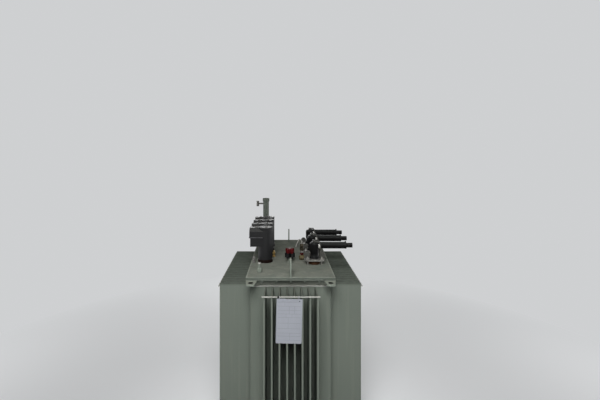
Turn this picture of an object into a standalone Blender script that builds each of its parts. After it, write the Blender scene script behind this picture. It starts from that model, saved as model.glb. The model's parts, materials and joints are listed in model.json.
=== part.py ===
"""Three-phase distribution transformer in a corrugated, oil-filled tank.

Metres, +Z up. The origin is on the floor under the middle of the tank. The tank's length runs
along Y, and the end that carries the rating plate faces -Y. The low-voltage side is at -X and
the high-voltage side at +X.
"""
import math

import bmesh
import bpy
from mathutils import Matrix, Vector

# Gap left between two faces that touch on the real transformer
SEAT = 0.0003
WELD = 0.0001
ROUND_STEPS = 24
WIRE_RESOLUTION = 2

# Runners under the tank
RUNNER_HEIGHT = 0.100
RUNNER_WIDTH = 0.050
RUNNER_WEB = 0.006
RUNNER_LIP = 0.0085
RUNNER_INSET = 0.065
RUNNER_PAST_FINS = 0.020
RUNNER_HOLE = 0.018
RUNNER_HOLE_FROM_END = 0.045

# Tank, from the bottom plate to the underside of the flange
TANK_LENGTH = 1.010
TANK_WIDTH = 0.490
TANK_HEIGHT = 0.967
BOTTOM_PLATE = 0.010
BOTTOM_REACH = 0.010
WALL_SHEET = 0.003
NECK_INSET = 0.010
NECK_HEIGHT = 0.050

# Flange, gasket and cover
FLANGE_THICK = 0.008
GASKET_THICK = 0.002
GASKET_INSET = 0.007
GASKET_BAND = 0.030
COVER_OVERHANG_END = 0.045
COVER_OVERHANG_SIDE = 0.025
COVER_THICK = 0.008
COVER_EDGE = 0.0015

# Cooling fins
FIN_THICK = 0.011
FIN_NOSE = 0.0045
FIN_PINCH_HEIGHT = 0.012
FIN_PINCH_THICK = 0.005
FIN_DROP = 0.0045
FIN_ABOVE_BOTTOM = 0.1125
END_FIN_MARGIN = 0.092
END_FIN_PITCH = 0.0435
END_FIN_DEPTH = 0.185
SIDE_FIN_MARGIN = 0.084
SIDE_FIN_PITCH = 0.0442
SIDE_FIN_DEPTH = 0.2035
ROD_RADIUS = 0.004
ROD_OVERHANG = 0.008
ROD_FROM_NOSE = 0.006

# Lugs
LASHING_ROOT = 0.068
LASHING_TIP = 0.046
LASHING_REACH = 0.076
LASHING_THICK = 0.010
LASHING_HOLE = 0.030
LASHING_HOLE_REACH = 0.040
LASHING_CORNER = 0.008
LIFTING_LENGTH = 0.090
LIFTING_HEIGHT = 0.105
LIFTING_THICK = 0.010
LIFTING_HOLE = 0.040
LIFTING_FROM_EDGE = 0.003

# Tap changer on the cover's centre line
TAP_Y = -0.200
TAP_BASE_RADIUS = 0.026
TAP_BASE_FLANGE = 0.005
TAP_BASE_HEIGHT = 0.030
TAP_NECK_RADIUS = 0.015
TAP_LOBES = 5
TAP_KNOB_RADIUS = 0.037
TAP_KNOB_DIP = 0.020
TAP_KNOB_HEIGHT = 0.032
TAP_KNOB_EDGE = 0.003
TAP_CAP_RADIUS = 0.032
TAP_CAP_DIP = 0.012
TAP_CAP_HEIGHT = 0.032
TAP_CAP_EDGE = 0.005

# Low-voltage terminals
LV_COUNT = 4
LV_FROM_EDGE = 0.098
LV_FROM_FRONT = 0.370
LV_FROM_BACK = 0.235
LV_FOOT_RADIUS = 0.053
LV_FOOT_HEIGHT = 0.020
LV_HOOD_RADIUS = 0.0495
LV_HOOD_TOP = 0.241
LV_BOX_REACH = 0.102
LV_BOX_WIDTH = 0.088
LV_BOX_BOTTOM = 0.111
LV_BOX_CAP_BOTTOM = 0.177
LV_BOX_CAP_LIP = 0.0055
LV_BOX_CHAMFER = 0.026
LV_LID_THICK = 0.006
LV_LID_LIP = 0.002
LV_MOUTH_WIDTH = 0.064
LV_MOUTH_HEIGHT = 0.040
LV_MOUTH_DEPTH = 0.050

# High-voltage terminals
HV_COUNT = 3
HV_FROM_EDGE = 0.104
HV_PITCH = 0.236
HV_FIRST_Y = -0.236
HV_FOOT_RADIUS = 0.0395
HV_FOOT_HEIGHT = 0.026
HV_NECK_RADIUS = 0.026
HV_PLATE_LENGTH = 0.128
HV_PLATE_WIDTH = 0.104
HV_PLATE_THICK = 0.012
HV_PLATE_CORNER = 0.018
HV_SLEEVE_Z = 0.125
HV_SLEEVE_RADIUS = 0.0225
HV_SLEEVE_END = 0.260
HV_SLEEVE_STEP = 0.040
HV_SLEEVE_STEP_RADIUS = 0.016
HV_BORE_RADIUS = 0.0125
HV_BORE_DEPTH = 0.055
HV_BODY_RADIUS = 0.031
HV_WAIST_RADIUS = 0.0275
HV_FLARE_RADIUS = 0.034
HV_BODY_TOP = 0.151
HV_BAIL_RADIUS = 0.0045
HV_BAIL_X = 0.039
HV_EAR_X = 0.0508
HV_EAR_Y = -0.024
HV_EAR_WIDTH = 0.0385
HV_EAR_TOP = 0.089
HV_EAR_THICK = 0.004

# Fittings on the cover
FILLER_FROM_SIDE = 0.070
FILLER_FROM_END = 0.080
FILLER_RADIUS = 0.025
FILLER_HEIGHT = 0.352
FILLER_FOOT_RADIUS = 0.038
FILLER_FOOT_HEIGHT = 0.010
FILLER_CAP_RADIUS = 0.029
FILLER_CAP_HEIGHT = 0.028
VENT_FROM_TOP = 0.018
VENT_REACH = 0.072
VENT_STUB_RADIUS = 0.007
VENT_RADIUS = 0.011
VENT_HEIGHT = 0.046
POCKET_FROM_SIDE = 0.075
POCKET_FROM_END = 0.114
POCKET_RADIUS = 0.0125
POCKET_HEIGHT = 0.042
POCKET_PLUG_RADIUS = 0.009
POCKET_PLUG_HEIGHT = 0.010
RELIEF_FROM_HV = 0.081
RELIEF_Y = -0.130
RELIEF_RADIUS = 0.0145
RELIEF_HEIGHT = 0.113
RELIEF_OUTLET_RADIUS = 0.008
RELIEF_OUTLET_Z = 0.088
RELIEF_OUTLET_DEPTH = 0.013
LEVER_RADIUS = 0.005
LEVER_RISE = 0.027
LEVER_REACH = 0.042
LEVER_DROP = 0.050
BLEED_FROM_LV = 0.056
BLEED_Y = -0.048
BLEED_RADIUS = 0.0115
BLEED_HEIGHT = 0.044

# Rating plate, hung on the front rod
PLATE_WIDTH = 0.146
PLATE_HEIGHT = 0.250
PLATE_THICK = 0.002
PLATE_CENTRE_X = -0.011
PLATE_HOOK_SPREAD = 0.110
PLATE_HOOK_RADIUS = 0.0015
PLATE_HOOK_TAIL = 0.010
PLATE_DROP = 0.004
PLATE_TILT = 0.024

# Drain valve, low on the far end
DRAIN_X = 0.0
DRAIN_ABOVE_BOTTOM = 0.0577
DRAIN_PIPE_RADIUS = 0.017
DRAIN_BODY_RADIUS = 0.026
DRAIN_LENGTH = 0.110

# Heights that follow from the sizes above
TANK_BOTTOM = RUNNER_HEIGHT + SEAT
FLANGE_BOTTOM = TANK_BOTTOM + TANK_HEIGHT
FLANGE_TOP = FLANGE_BOTTOM + FLANGE_THICK
GASKET_BOTTOM = FLANGE_TOP + SEAT
COVER_BOTTOM = GASKET_BOTTOM + GASKET_THICK + SEAT
COVER_TOP = COVER_BOTTOM + COVER_THICK
ON_COVER = COVER_TOP + SEAT
LEDGE_Z = FLANGE_BOTTOM - NECK_HEIGHT
FIN_TOP = LEDGE_Z - FIN_DROP
FIN_BOTTOM = TANK_BOTTOM + FIN_ABOVE_BOTTOM
FIN_HEIGHT = FIN_TOP - FIN_BOTTOM
END_NOSE = TANK_LENGTH / 2 + END_FIN_DEPTH
SIDE_NOSE = TANK_WIDTH / 2 + SIDE_FIN_DEPTH
DRAIN_Z = TANK_BOTTOM + DRAIN_ABOVE_BOTTOM

# Lengths and places that follow from them
COVER_LENGTH = TANK_LENGTH + 2 * COVER_OVERHANG_END
COVER_WIDTH = TANK_WIDTH + 2 * COVER_OVERHANG_SIDE
LASHING_TUCK = COVER_OVERHANG_END - SEAT
END_FINS = int((TANK_WIDTH - 2 * END_FIN_MARGIN) / END_FIN_PITCH) + 1
SIDE_FINS = int((TANK_LENGTH - 2 * SIDE_FIN_MARGIN) / SIDE_FIN_PITCH) + 1
RUNNER_LENGTH = 2 * (END_NOSE + RUNNER_PAST_FINS)
RUNNER_SPACING = TANK_WIDTH - 2 * RUNNER_INSET
LV_X = LV_FROM_EDGE - COVER_WIDTH / 2
LV_FIRST_Y = LV_FROM_FRONT - COVER_LENGTH / 2
LV_PITCH = (COVER_LENGTH - LV_FROM_FRONT - LV_FROM_BACK) / (LV_COUNT - 1)
HV_X = COVER_WIDTH / 2 - HV_FROM_EDGE
FILLER_X = FILLER_FROM_SIDE - COVER_WIDTH / 2
FILLER_Y = COVER_LENGTH / 2 - FILLER_FROM_END
VENT_Z = FILLER_HEIGHT - VENT_FROM_TOP
POCKET_X = POCKET_FROM_SIDE - COVER_WIDTH / 2
POCKET_Y = POCKET_FROM_END - COVER_LENGTH / 2
RELIEF_X = HV_X - RELIEF_FROM_HV
BLEED_X = LV_X + BLEED_FROM_LV


def clear_scene():
    for item in list(bpy.data.objects):
        bpy.data.objects.remove(item, do_unlink=True)


def make_collection(name):
    group = bpy.data.collections.new(name)
    bpy.context.scene.collection.children.link(group)
    return group


def make_material(name, colour, roughness, metallic=0.0):
    made = bpy.data.materials.new(name)
    made.use_nodes = True
    shader = made.node_tree.nodes["Principled BSDF"]
    shader.inputs["Base Color"].default_value = (*colour, 1.0)
    shader.inputs["Roughness"].default_value = roughness
    shader.inputs["Metallic"].default_value = metallic
    return made


def place(data, name, material, location=(0, 0, 0), turn=(0, 0, 0)):
    item = bpy.data.objects.new(name, data)
    parts.objects.link(item)
    if material.name not in data.materials:
        data.materials.append(material)
    item.location = location
    item.rotation_euler = turn
    return item


def hide_cutter(item):
    for group in list(item.users_collection):
        group.objects.unlink(item)
    cutters.objects.link(item)
    item.hide_render = True
    item.display_type = "WIRE"
    return item


def cutter(data, name, location=(0, 0, 0), turn=(0, 0, 0)):
    item = bpy.data.objects.new(name, data)
    item.location = location
    item.rotation_euler = turn
    return hide_cutter(item)


def combine(item, other, operation):
    step = item.modifiers.new(f"{operation.lower()}_{other.name}", "BOOLEAN")
    step.operation = operation
    step.solver = "EXACT"
    step.object = other
    return item


def block_mesh(name, low, high):
    """A block between two corners."""
    low, high = Vector(low), Vector(high)
    shape = bmesh.new()
    bmesh.ops.create_cube(shape, size=1.0)
    bmesh.ops.scale(shape, vec=high - low, verts=shape.verts)
    bmesh.ops.translate(shape, vec=(low + high) / 2, verts=shape.verts)
    data = bpy.data.meshes.new(name)
    shape.to_mesh(data)
    shape.free()
    return data


def round_edges(item, width, segments=2):
    step = item.modifiers.new("rounded_edges", "BEVEL")
    step.width = width
    step.segments = segments
    step.limit_method = "ANGLE"
    return item


def smooth_round(data):
    data.shade_smooth()
    data.set_sharp_from_angle(angle=math.radians(35))


def profile_mesh(name, profile):
    """The half outline of a turned piece, from the top at the axis down to the bottom."""
    shape = bmesh.new()
    points = [shape.verts.new((radius, 0, height)) for radius, height in profile]
    for above, below in zip(points, points[1:]):
        shape.edges.new((above, below))
    data = bpy.data.meshes.new(name)
    shape.to_mesh(data)
    shape.free()
    return data


def spin_profile(item, steps=ROUND_STEPS):
    turn = item.modifiers.new("turned", "SCREW")
    turn.angle = math.tau
    turn.steps = steps
    turn.render_steps = steps
    turn.use_merge_vertices = True
    turn.merge_threshold = WELD
    turn.use_normal_calculate = False
    return item


def turned(name, profile, material, location=(0, 0, 0), turn=(0, 0, 0), steps=ROUND_STEPS):
    return spin_profile(place(profile_mesh(name, profile), name, material, location, turn), steps)


def finished_mesh(item, name):
    """The mesh of an object after its modifiers, in the object's own frame."""
    bpy.context.view_layer.update()
    seen = item.evaluated_get(bpy.context.evaluated_depsgraph_get())
    data = bpy.data.meshes.new_from_object(seen)
    data.name = name
    smooth_round(data)
    return data


def solid_from_curve(curve, name):
    """A curve's shape as one closed mesh, its loose caps joined to its sides."""
    draft = cutter(curve, f"{name}_draft")
    data = finished_mesh(draft, name)
    remove_piece(draft)
    shape = bmesh.new()
    shape.from_mesh(data)
    bmesh.ops.remove_doubles(shape, verts=shape.verts, dist=WELD)
    shape.to_mesh(data)
    shape.free()
    return data


def remove_piece(*items):
    for item in items:
        bpy.data.objects.remove(item, do_unlink=True)


def circle_points(radius, centre=(0, 0), steps=ROUND_STEPS):
    return [(centre[0] + radius * math.cos(math.tau * k / steps),
             centre[1] + radius * math.sin(math.tau * k / steps)) for k in range(steps)]


def rounded_outline(corners, radius, steps=4):
    """A closed outline whose corners are replaced by arcs; corners run anticlockwise."""
    points = []
    count = len(corners)
    for k, corner in enumerate(corners):
        here = Vector(corner)
        back = (Vector(corners[k - 1]) - here).normalized()
        ahead = (Vector(corners[(k + 1) % count]) - here).normalized()
        half = back.angle(ahead) / 2
        middle = here + (back + ahead).normalized() * (radius / math.sin(half))
        start = here + back * (radius / math.tan(half)) - middle
        sweep = math.pi - 2 * half
        for step in range(steps + 1):
            spot = start.copy()
            spot.rotate(Matrix.Rotation(sweep * step / steps, 2))
            points.append(tuple(middle + spot))
    return points


def rectangle(length, width):
    return [(-length / 2, -width / 2), (length / 2, -width / 2),
            (length / 2, width / 2), (-length / 2, width / 2)]


def flat_curve(name, outlines, thickness):
    """A plate from flat outlines: the first is its edge and the others are holes."""
    data = bpy.data.curves.new(name, "CURVE")
    data.dimensions = "2D"
    data.fill_mode = "BOTH"
    data.extrude = thickness / 2
    for outline in outlines:
        spline = data.splines.new("POLY")
        spline.points.add(len(outline) - 1)
        for point, (x, y) in zip(spline.points, outline):
            point.co = (x, y, 0, 1)
        spline.use_cyclic_u = True
    return data


def wire_curve(name, route, radius):
    """Round wire or rod along a route of points."""
    data = bpy.data.curves.new(name, "CURVE")
    data.dimensions = "3D"
    data.bevel_depth = radius
    data.bevel_resolution = WIRE_RESOLUTION
    data.use_fill_caps = True
    spline = data.splines.new("POLY")
    spline.points.add(len(route) - 1)
    for point, spot in zip(spline.points, route):
        point.co = (*spot, 1)
    return data


def build_tank_body():
    """Bottom plate, inner tank and the narrower neck that the flange is welded to."""
    reach = BOTTOM_REACH
    low = (-TANK_WIDTH / 2 - reach, -TANK_LENGTH / 2 - reach, TANK_BOTTOM)
    high = (TANK_WIDTH / 2 + reach, TANK_LENGTH / 2 + reach, TANK_BOTTOM + BOTTOM_PLATE)
    data = block_mesh("tank_body", low, high)
    shape = bmesh.new()
    shape.from_mesh(data)
    sheet = WALL_SHEET + SEAT
    steps = [(reach + sheet, LEDGE_Z), (NECK_INSET - sheet, FLANGE_TOP)]
    for inset, height in steps:
        top = max(shape.faces, key=lambda face: face.calc_center_median().z)
        bmesh.ops.inset_region(shape, faces=[top], thickness=inset, use_even_offset=True)
        lift = height - top.calc_center_median().z
        raised = bmesh.ops.extrude_discrete_faces(shape, faces=[top])["faces"]
        bmesh.ops.translate(shape, vec=(0, 0, lift), verts=raised[0].verts)
    shape.to_mesh(data)
    shape.free()
    place(data, "tank_body", paint)


def fin_mesh(name, depth):
    """One hollow fold of the wall, seen as its outer skin: round nose, ends pressed thin."""
    root = WALL_SHEET / 2
    data = block_mesh(name, (-FIN_THICK / 2, -depth, FIN_BOTTOM), (FIN_THICK / 2, root, FIN_TOP))
    shape = bmesh.new()
    shape.from_mesh(data)
    nose = [edge for edge in shape.edges
            if all(vert.co.y < -depth / 2 for vert in edge.verts)
            and abs(edge.verts[0].co.z - edge.verts[1].co.z) > FIN_HEIGHT / 2]
    bmesh.ops.bevel(shape, geom=nose, offset=FIN_NOSE, segments=3, profile=0.5,
                    affect="EDGES", material=-1)
    for height in (FIN_BOTTOM + FIN_PINCH_HEIGHT, FIN_TOP - FIN_PINCH_HEIGHT):
        everything = shape.verts[:] + shape.edges[:] + shape.faces[:]
        bmesh.ops.bisect_plane(shape, geom=everything, plane_co=(0, 0, height),
                               plane_no=(0, 0, 1))
    ends = [vert for vert in shape.verts
            if min(abs(vert.co.z - FIN_BOTTOM), abs(vert.co.z - FIN_TOP)) < WELD]
    bmesh.ops.scale(shape, vec=(FIN_PINCH_THICK / FIN_THICK, 1, 1), verts=ends)
    shape.to_mesh(data)
    shape.free()
    return data


def build_corrugated_wall(name, length, fins, pitch, depth, stand_off, angle):
    """A wall folded into fins, made as if it faced -Y, then turned about the tank's axis."""
    turn = (0, 0, angle)
    forward = Vector((0, -stand_off, 0))
    forward.rotate(Matrix.Rotation(angle, 3, "Z"))
    bottom = TANK_BOTTOM + BOTTOM_PLATE + SEAT
    sheet = block_mesh(name, (-length / 2, 0, bottom), (length / 2, WALL_SHEET, LEDGE_Z))
    wall = place(sheet, name, paint, forward, turn)
    folds = cutter(fin_mesh(f"{name}_folds", depth), f"{name}_folds", forward, turn)
    first = Vector((-(fins - 1) * pitch / 2, 0, 0))
    for vert in folds.data.vertices:
        vert.co += first
    row = folds.modifiers.new("row", "ARRAY")
    row.count = fins
    row.use_relative_offset = False
    row.use_constant_offset = True
    row.constant_offset_displace = (pitch, 0, 0)
    combine(wall, folds, "UNION")


def build_walls():
    ends = (TANK_WIDTH, END_FINS, END_FIN_PITCH, END_FIN_DEPTH, TANK_LENGTH / 2)
    side_length = TANK_LENGTH - 2 * (WALL_SHEET + SEAT)
    sides = (side_length, SIDE_FINS, SIDE_FIN_PITCH, SIDE_FIN_DEPTH, TANK_WIDTH / 2)
    build_corrugated_wall("front_fin_wall", *ends, 0)
    build_corrugated_wall("rear_fin_wall", *ends, math.pi)
    build_corrugated_wall("left_fin_wall", *sides, -math.pi / 2)
    build_corrugated_wall("right_fin_wall", *sides, math.pi / 2)


def build_fin_rods():
    """Round rods that tie the fins of each bank together at their tops."""
    clear = ROD_RADIUS + SEAT
    end_half = (END_FINS - 1) * END_FIN_PITCH / 2 + FIN_THICK / 2 + ROD_OVERHANG
    side_half = (SIDE_FINS - 1) * SIDE_FIN_PITCH / 2 + FIN_THICK / 2 + ROD_OVERHANG
    for name, side in (("front_fin_rod", -1), ("rear_fin_rod", 1)):
        y, z = side * (END_NOSE - ROD_FROM_NOSE), FIN_TOP + clear
        place(wire_curve(name, [(-end_half, y, z), (end_half, y, z)], ROD_RADIUS), name, paint)
    for name, side in (("left_fin_rod", -1), ("right_fin_rod", 1)):
        x, z = side * (SIDE_NOSE + clear), FIN_TOP - FIN_PINCH_HEIGHT - ROD_RADIUS
        place(wire_curve(name, [(x, -side_half, z), (x, side_half, z)], ROD_RADIUS), name, paint)


def build_flange_gasket_cover():
    neck = rectangle(TANK_WIDTH - 2 * NECK_INSET + 2 * SEAT, TANK_LENGTH - 2 * NECK_INSET + 2 * SEAT)
    edge = rectangle(COVER_WIDTH, COVER_LENGTH)
    place(flat_curve("tank_flange", [edge, neck], FLANGE_THICK), "tank_flange", paint,
          (0, 0, FLANGE_BOTTOM + FLANGE_THICK / 2))
    outer = (COVER_WIDTH - 2 * GASKET_INSET, COVER_LENGTH - 2 * GASKET_INSET)
    inner = (outer[0] - 2 * GASKET_BAND, outer[1] - 2 * GASKET_BAND)
    place(flat_curve("cover_gasket", [rectangle(*outer), rectangle(*inner)], GASKET_THICK),
          "cover_gasket", rubber, (0, 0, GASKET_BOTTOM + GASKET_THICK / 2))
    cover = place(block_mesh("cover_plate", (-COVER_WIDTH / 2, -COVER_LENGTH / 2, COVER_BOTTOM),
                             (COVER_WIDTH / 2, COVER_LENGTH / 2, COVER_TOP)), "cover_plate", paint)
    round_edges(cover, COVER_EDGE)


def build_lashing_lugs():
    """Flat eyes welded under the flange's corners, reaching out past the ends."""
    corners = [(-LASHING_ROOT / 2, LASHING_TUCK), (-LASHING_ROOT / 2, 0),
               (-LASHING_TIP / 2, -LASHING_REACH), (LASHING_TIP / 2, -LASHING_REACH),
               (LASHING_ROOT / 2, 0), (LASHING_ROOT / 2, LASHING_TUCK)]
    outline = rounded_outline(corners, LASHING_CORNER, 3)
    hole = circle_points(LASHING_HOLE / 2, (0, -LASHING_HOLE_REACH))
    shared = flat_curve("lashing_lug", [outline, hole], LASHING_THICK)
    x = COVER_WIDTH / 2 - LASHING_ROOT / 2
    z = FLANGE_BOTTOM - SEAT - LASHING_THICK / 2
    for end, side_y, turn in (("front", -1, 0), ("rear", 1, math.pi)):
        for side, side_x in (("left", -1), ("right", 1)):
            place(shared, f"lashing_lug_{end}_{side}", paint,
                  (side_x * x, side_y * COVER_LENGTH / 2, z), (0, 0, turn))


def build_lifting_lugs():
    """Upright eyes on the cover's centre line, in the plane that runs along the tank."""
    half = LIFTING_LENGTH / 2
    shoulder = LIFTING_HEIGHT - half
    arch = [(half * math.cos(math.pi * k / 12), shoulder + half * math.sin(math.pi * k / 12))
            for k in range(13)]
    outline = [(-half, 0), (half, 0)] + arch
    hole = circle_points(LIFTING_HOLE / 2, (0, shoulder))
    shared = flat_curve("lifting_lug", [outline, hole], LIFTING_THICK)
    y = COVER_LENGTH / 2 - LIFTING_FROM_EDGE - half
    for name, side in (("lifting_lug_front", -1), ("lifting_lug_rear", 1)):
        place(shared, name, paint, (0, side * y, ON_COVER), (math.pi / 2, 0, math.pi / 2))


def star_curve(name, radius, dip, height, edge, rounding):
    """A round block with soft lobes, one of them along the tank, and its rims rounded off."""
    outline = []
    for k in range(12 * TAP_LOBES):
        angle = math.tau * k / (12 * TAP_LOBES)
        reach = radius - dip / 2 + dip / 2 * math.cos(TAP_LOBES * angle)
        outline.append((-reach * math.sin(angle), reach * math.cos(angle)))
    star = flat_curve(name, [outline], height - 2 * edge)
    star.bevel_depth = edge
    star.bevel_resolution = rounding
    star.offset = -edge
    return star


def build_tap_changer():
    """A painted base, a black star to grip and turn, and a smaller red star on top."""
    top = TAP_BASE_HEIGHT
    profile = [(0, top), (TAP_NECK_RADIUS, top), (TAP_NECK_RADIUS, TAP_BASE_FLANGE),
               (TAP_BASE_RADIUS, TAP_BASE_FLANGE), (TAP_BASE_RADIUS, 0), (0, 0)]
    turned("tap_changer_base", profile, paint, (0, TAP_Y, ON_COVER))
    knob_bottom = ON_COVER + TAP_BASE_HEIGHT + SEAT
    knob = star_curve("tap_changer_knob", TAP_KNOB_RADIUS, TAP_KNOB_DIP, TAP_KNOB_HEIGHT,
                      TAP_KNOB_EDGE, 1)
    place(knob, "tap_changer_knob", black_plastic, (0, TAP_Y, knob_bottom + TAP_KNOB_HEIGHT / 2))
    cap_bottom = knob_bottom + TAP_KNOB_HEIGHT + SEAT
    cap = star_curve("tap_changer_cap", TAP_CAP_RADIUS, TAP_CAP_DIP, TAP_CAP_HEIGHT,
                     TAP_CAP_EDGE, 2)
    place(cap, "tap_changer_cap", red_plastic, (0, TAP_Y, cap_bottom + TAP_CAP_HEIGHT / 2))


def build_lv_terminals():
    """Round hoods over the low-voltage bushings, each with a box for the cables at -X."""
    hood_low = LV_FOOT_HEIGHT + SEAT
    edge = 0.004
    lid = LV_HOOD_RADIUS + LV_LID_LIP
    profile = [(0, LV_HOOD_TOP), (lid - edge / 2, LV_HOOD_TOP), (lid, LV_HOOD_TOP - edge / 2),
               (lid, LV_HOOD_TOP - LV_LID_THICK), (LV_HOOD_RADIUS, LV_HOOD_TOP - LV_LID_THICK),
               (LV_HOOD_RADIUS, hood_low), (0, hood_low)]
    hood = turned("lv_hood_draft", profile, black_plastic)
    half = LV_BOX_WIDTH / 2
    box = cutter(block_mesh("lv_box", (-LV_BOX_REACH, -half, LV_BOX_BOTTOM),
                            (-LV_HOOD_RADIUS / 3, half, LV_HOOD_TOP - LV_BOX_CHAMFER)), "lv_box")
    lip = half + LV_BOX_CAP_LIP
    roof = [(-lip, LV_BOX_CAP_BOTTOM), (lip, LV_BOX_CAP_BOTTOM),
            (lip, LV_HOOD_TOP - LV_BOX_CHAMFER), (lip - LV_BOX_CHAMFER, LV_HOOD_TOP - edge / 2),
            (LV_BOX_CHAMFER - lip, LV_HOOD_TOP - edge / 2), (-lip, LV_HOOD_TOP - LV_BOX_CHAMFER)]
    cap_length = LV_BOX_REACH + LV_BOX_CAP_LIP
    cap_mesh = solid_from_curve(flat_curve("lv_box_cap", [roof], cap_length), "lv_box_cap")
    cap = cutter(cap_mesh, "lv_box_cap", (-cap_length / 2, 0, 0), (math.pi / 2, 0, math.pi / 2))
    mouth_z = LV_BOX_BOTTOM + (LV_BOX_CAP_BOTTOM - LV_BOX_BOTTOM) / 2
    mouth = cutter(block_mesh("lv_mouth",
                              (-LV_BOX_REACH - 0.02, -LV_MOUTH_WIDTH / 2,
                               mouth_z - LV_MOUTH_HEIGHT / 2),
                              (-LV_BOX_REACH + LV_MOUTH_DEPTH, LV_MOUTH_WIDTH / 2,
                               mouth_z + LV_MOUTH_HEIGHT / 2)), "lv_mouth")
    round_edges(mouth, 0.012, 2)
    for other, operation in ((box, "UNION"), (cap, "UNION"), (mouth, "DIFFERENCE")):
        combine(hood, other, operation)
    shared = finished_mesh(hood, "lv_hood")
    remove_piece(hood, box, cap, mouth)
    foot = [(0, LV_FOOT_HEIGHT), (LV_FOOT_RADIUS, LV_FOOT_HEIGHT), (LV_FOOT_RADIUS, 0), (0, 0)]
    for k in range(LV_COUNT):
        spot = (LV_X, LV_FIRST_Y + k * LV_PITCH, ON_COVER)
        turned(f"lv_bushing_foot_{k + 1}", foot, brown_ceramic, spot)
        place(shared, f"lv_hood_{k + 1}", black_plastic, spot)


def hv_elbow_mesh():
    """Rubber elbow: an upright body with a round head and a long level sleeve at +X."""
    low = HV_FOOT_HEIGHT + HV_PLATE_THICK + 2 * SEAT
    head = HV_BODY_TOP - HV_BODY_RADIUS * 0.55
    dome = [(HV_BODY_RADIUS * math.sin(math.pi / 2 * k / 5),
             head + (HV_BODY_TOP - head) * math.cos(math.pi / 2 * k / 5)) for k in range(6)]
    profile = dome + [(HV_BODY_RADIUS, HV_SLEEVE_Z - 0.036), (HV_WAIST_RADIUS, HV_SLEEVE_Z - 0.051),
                      (HV_WAIST_RADIUS, low + 0.018), (HV_FLARE_RADIUS, low + 0.008),
                      (HV_FLARE_RADIUS, low), (0, low)]
    body = turned("hv_elbow_draft", profile, rubber)
    sleeve_profile = [(0, HV_SLEEVE_END), (HV_SLEEVE_STEP_RADIUS, HV_SLEEVE_END),
                      (HV_SLEEVE_STEP_RADIUS, HV_SLEEVE_END - HV_SLEEVE_STEP),
                      (HV_SLEEVE_RADIUS, HV_SLEEVE_END - HV_SLEEVE_STEP - 0.004),
                      (HV_SLEEVE_RADIUS, HV_BODY_RADIUS + 0.016),
                      (HV_SLEEVE_RADIUS + 0.004, HV_BODY_RADIUS), (HV_SLEEVE_RADIUS + 0.004, 0),
                      (0, 0)]
    sleeve = spin_profile(cutter(profile_mesh("hv_sleeve", sleeve_profile), "hv_sleeve",
                                 (0, 0, HV_SLEEVE_Z), (0, math.pi / 2, 0)), 20)
    bore_profile = [(0, HV_SLEEVE_END + 0.01), (HV_BORE_RADIUS, HV_SLEEVE_END + 0.01),
                    (HV_BORE_RADIUS, HV_SLEEVE_END - HV_BORE_DEPTH),
                    (0, HV_SLEEVE_END - HV_BORE_DEPTH)]
    bore = spin_profile(cutter(profile_mesh("hv_bore", bore_profile), "hv_bore",
                               (0, 0, HV_SLEEVE_Z), (0, math.pi / 2, 0)), 16)
    combine(body, sleeve, "UNION")
    combine(body, bore, "DIFFERENCE")
    data = finished_mesh(body, "hv_elbow")
    remove_piece(body, sleeve, bore)
    return data


def hv_clamp_mesh():
    """The plate that holds the bushing down, an ear at each end, and the bail over the head."""
    edge = rounded_outline(rectangle(HV_PLATE_LENGTH, HV_PLATE_WIDTH), HV_PLATE_CORNER)
    hole = circle_points(HV_NECK_RADIUS + SEAT)
    plate_data = solid_from_curve(flat_curve("hv_plate", [edge, hole], HV_PLATE_THICK), "hv_plate")
    lift = HV_FOOT_HEIGHT + SEAT + HV_PLATE_THICK / 2
    plate = cutter(plate_data, "hv_plate", (0, 0, lift))
    wire = wire_curve("hv_bail", hv_bail_route(), HV_BAIL_RADIUS)
    bail = cutter(solid_from_curve(wire, "hv_bail"), "hv_bail")
    combine(plate, bail, "UNION")
    ear_data = solid_from_curve(flat_curve("hv_ear", [hv_ear_outline(lift)], HV_EAR_THICK), "hv_ear")
    ears = [cutter(ear_data, f"hv_ear_{side + 2}", (side * HV_EAR_X, HV_EAR_Y, 0),
                   (math.pi / 2, 0, 0)) for side in (-1, 1)]
    for ear in ears:
        combine(plate, ear, "UNION")
    data = finished_mesh(plate, "hv_clamp")
    data.transform(Matrix.Translation((0, 0, lift)))
    remove_piece(plate, bail, *ears)
    return data


def hv_ear_outline(low):
    """An upright tab with a round top, from the middle of the clamp plate."""
    half = HV_EAR_WIDTH / 2
    centre = HV_EAR_TOP - half
    arch = [(half * math.cos(math.pi * k / 10), centre + half * math.sin(math.pi * k / 10))
            for k in range(11)]
    return [(-half, low), (half, low)] + arch


def hv_bail_route():
    """From the clamp plate, up beside the sleeve's root and over the elbow's head."""
    foot = HV_FOOT_HEIGHT + SEAT + HV_PLATE_THICK / 2
    beside = HV_BODY_RADIUS + HV_BAIL_RADIUS + 0.002
    over = HV_BODY_TOP + HV_BAIL_RADIUS + 0.002
    front = [(HV_BAIL_X, -beside, foot), (HV_BAIL_X, -beside, HV_SLEEVE_Z + 0.006),
             (HV_BAIL_X - 0.007, -beside + 0.002, HV_SLEEVE_Z + 0.026),
             (0.004, -beside + 0.014, over - 0.004), (-0.006, -beside + 0.024, over)]
    rear = [(x, -y, z) for x, y, z in reversed(front)]
    return front + rear


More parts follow.
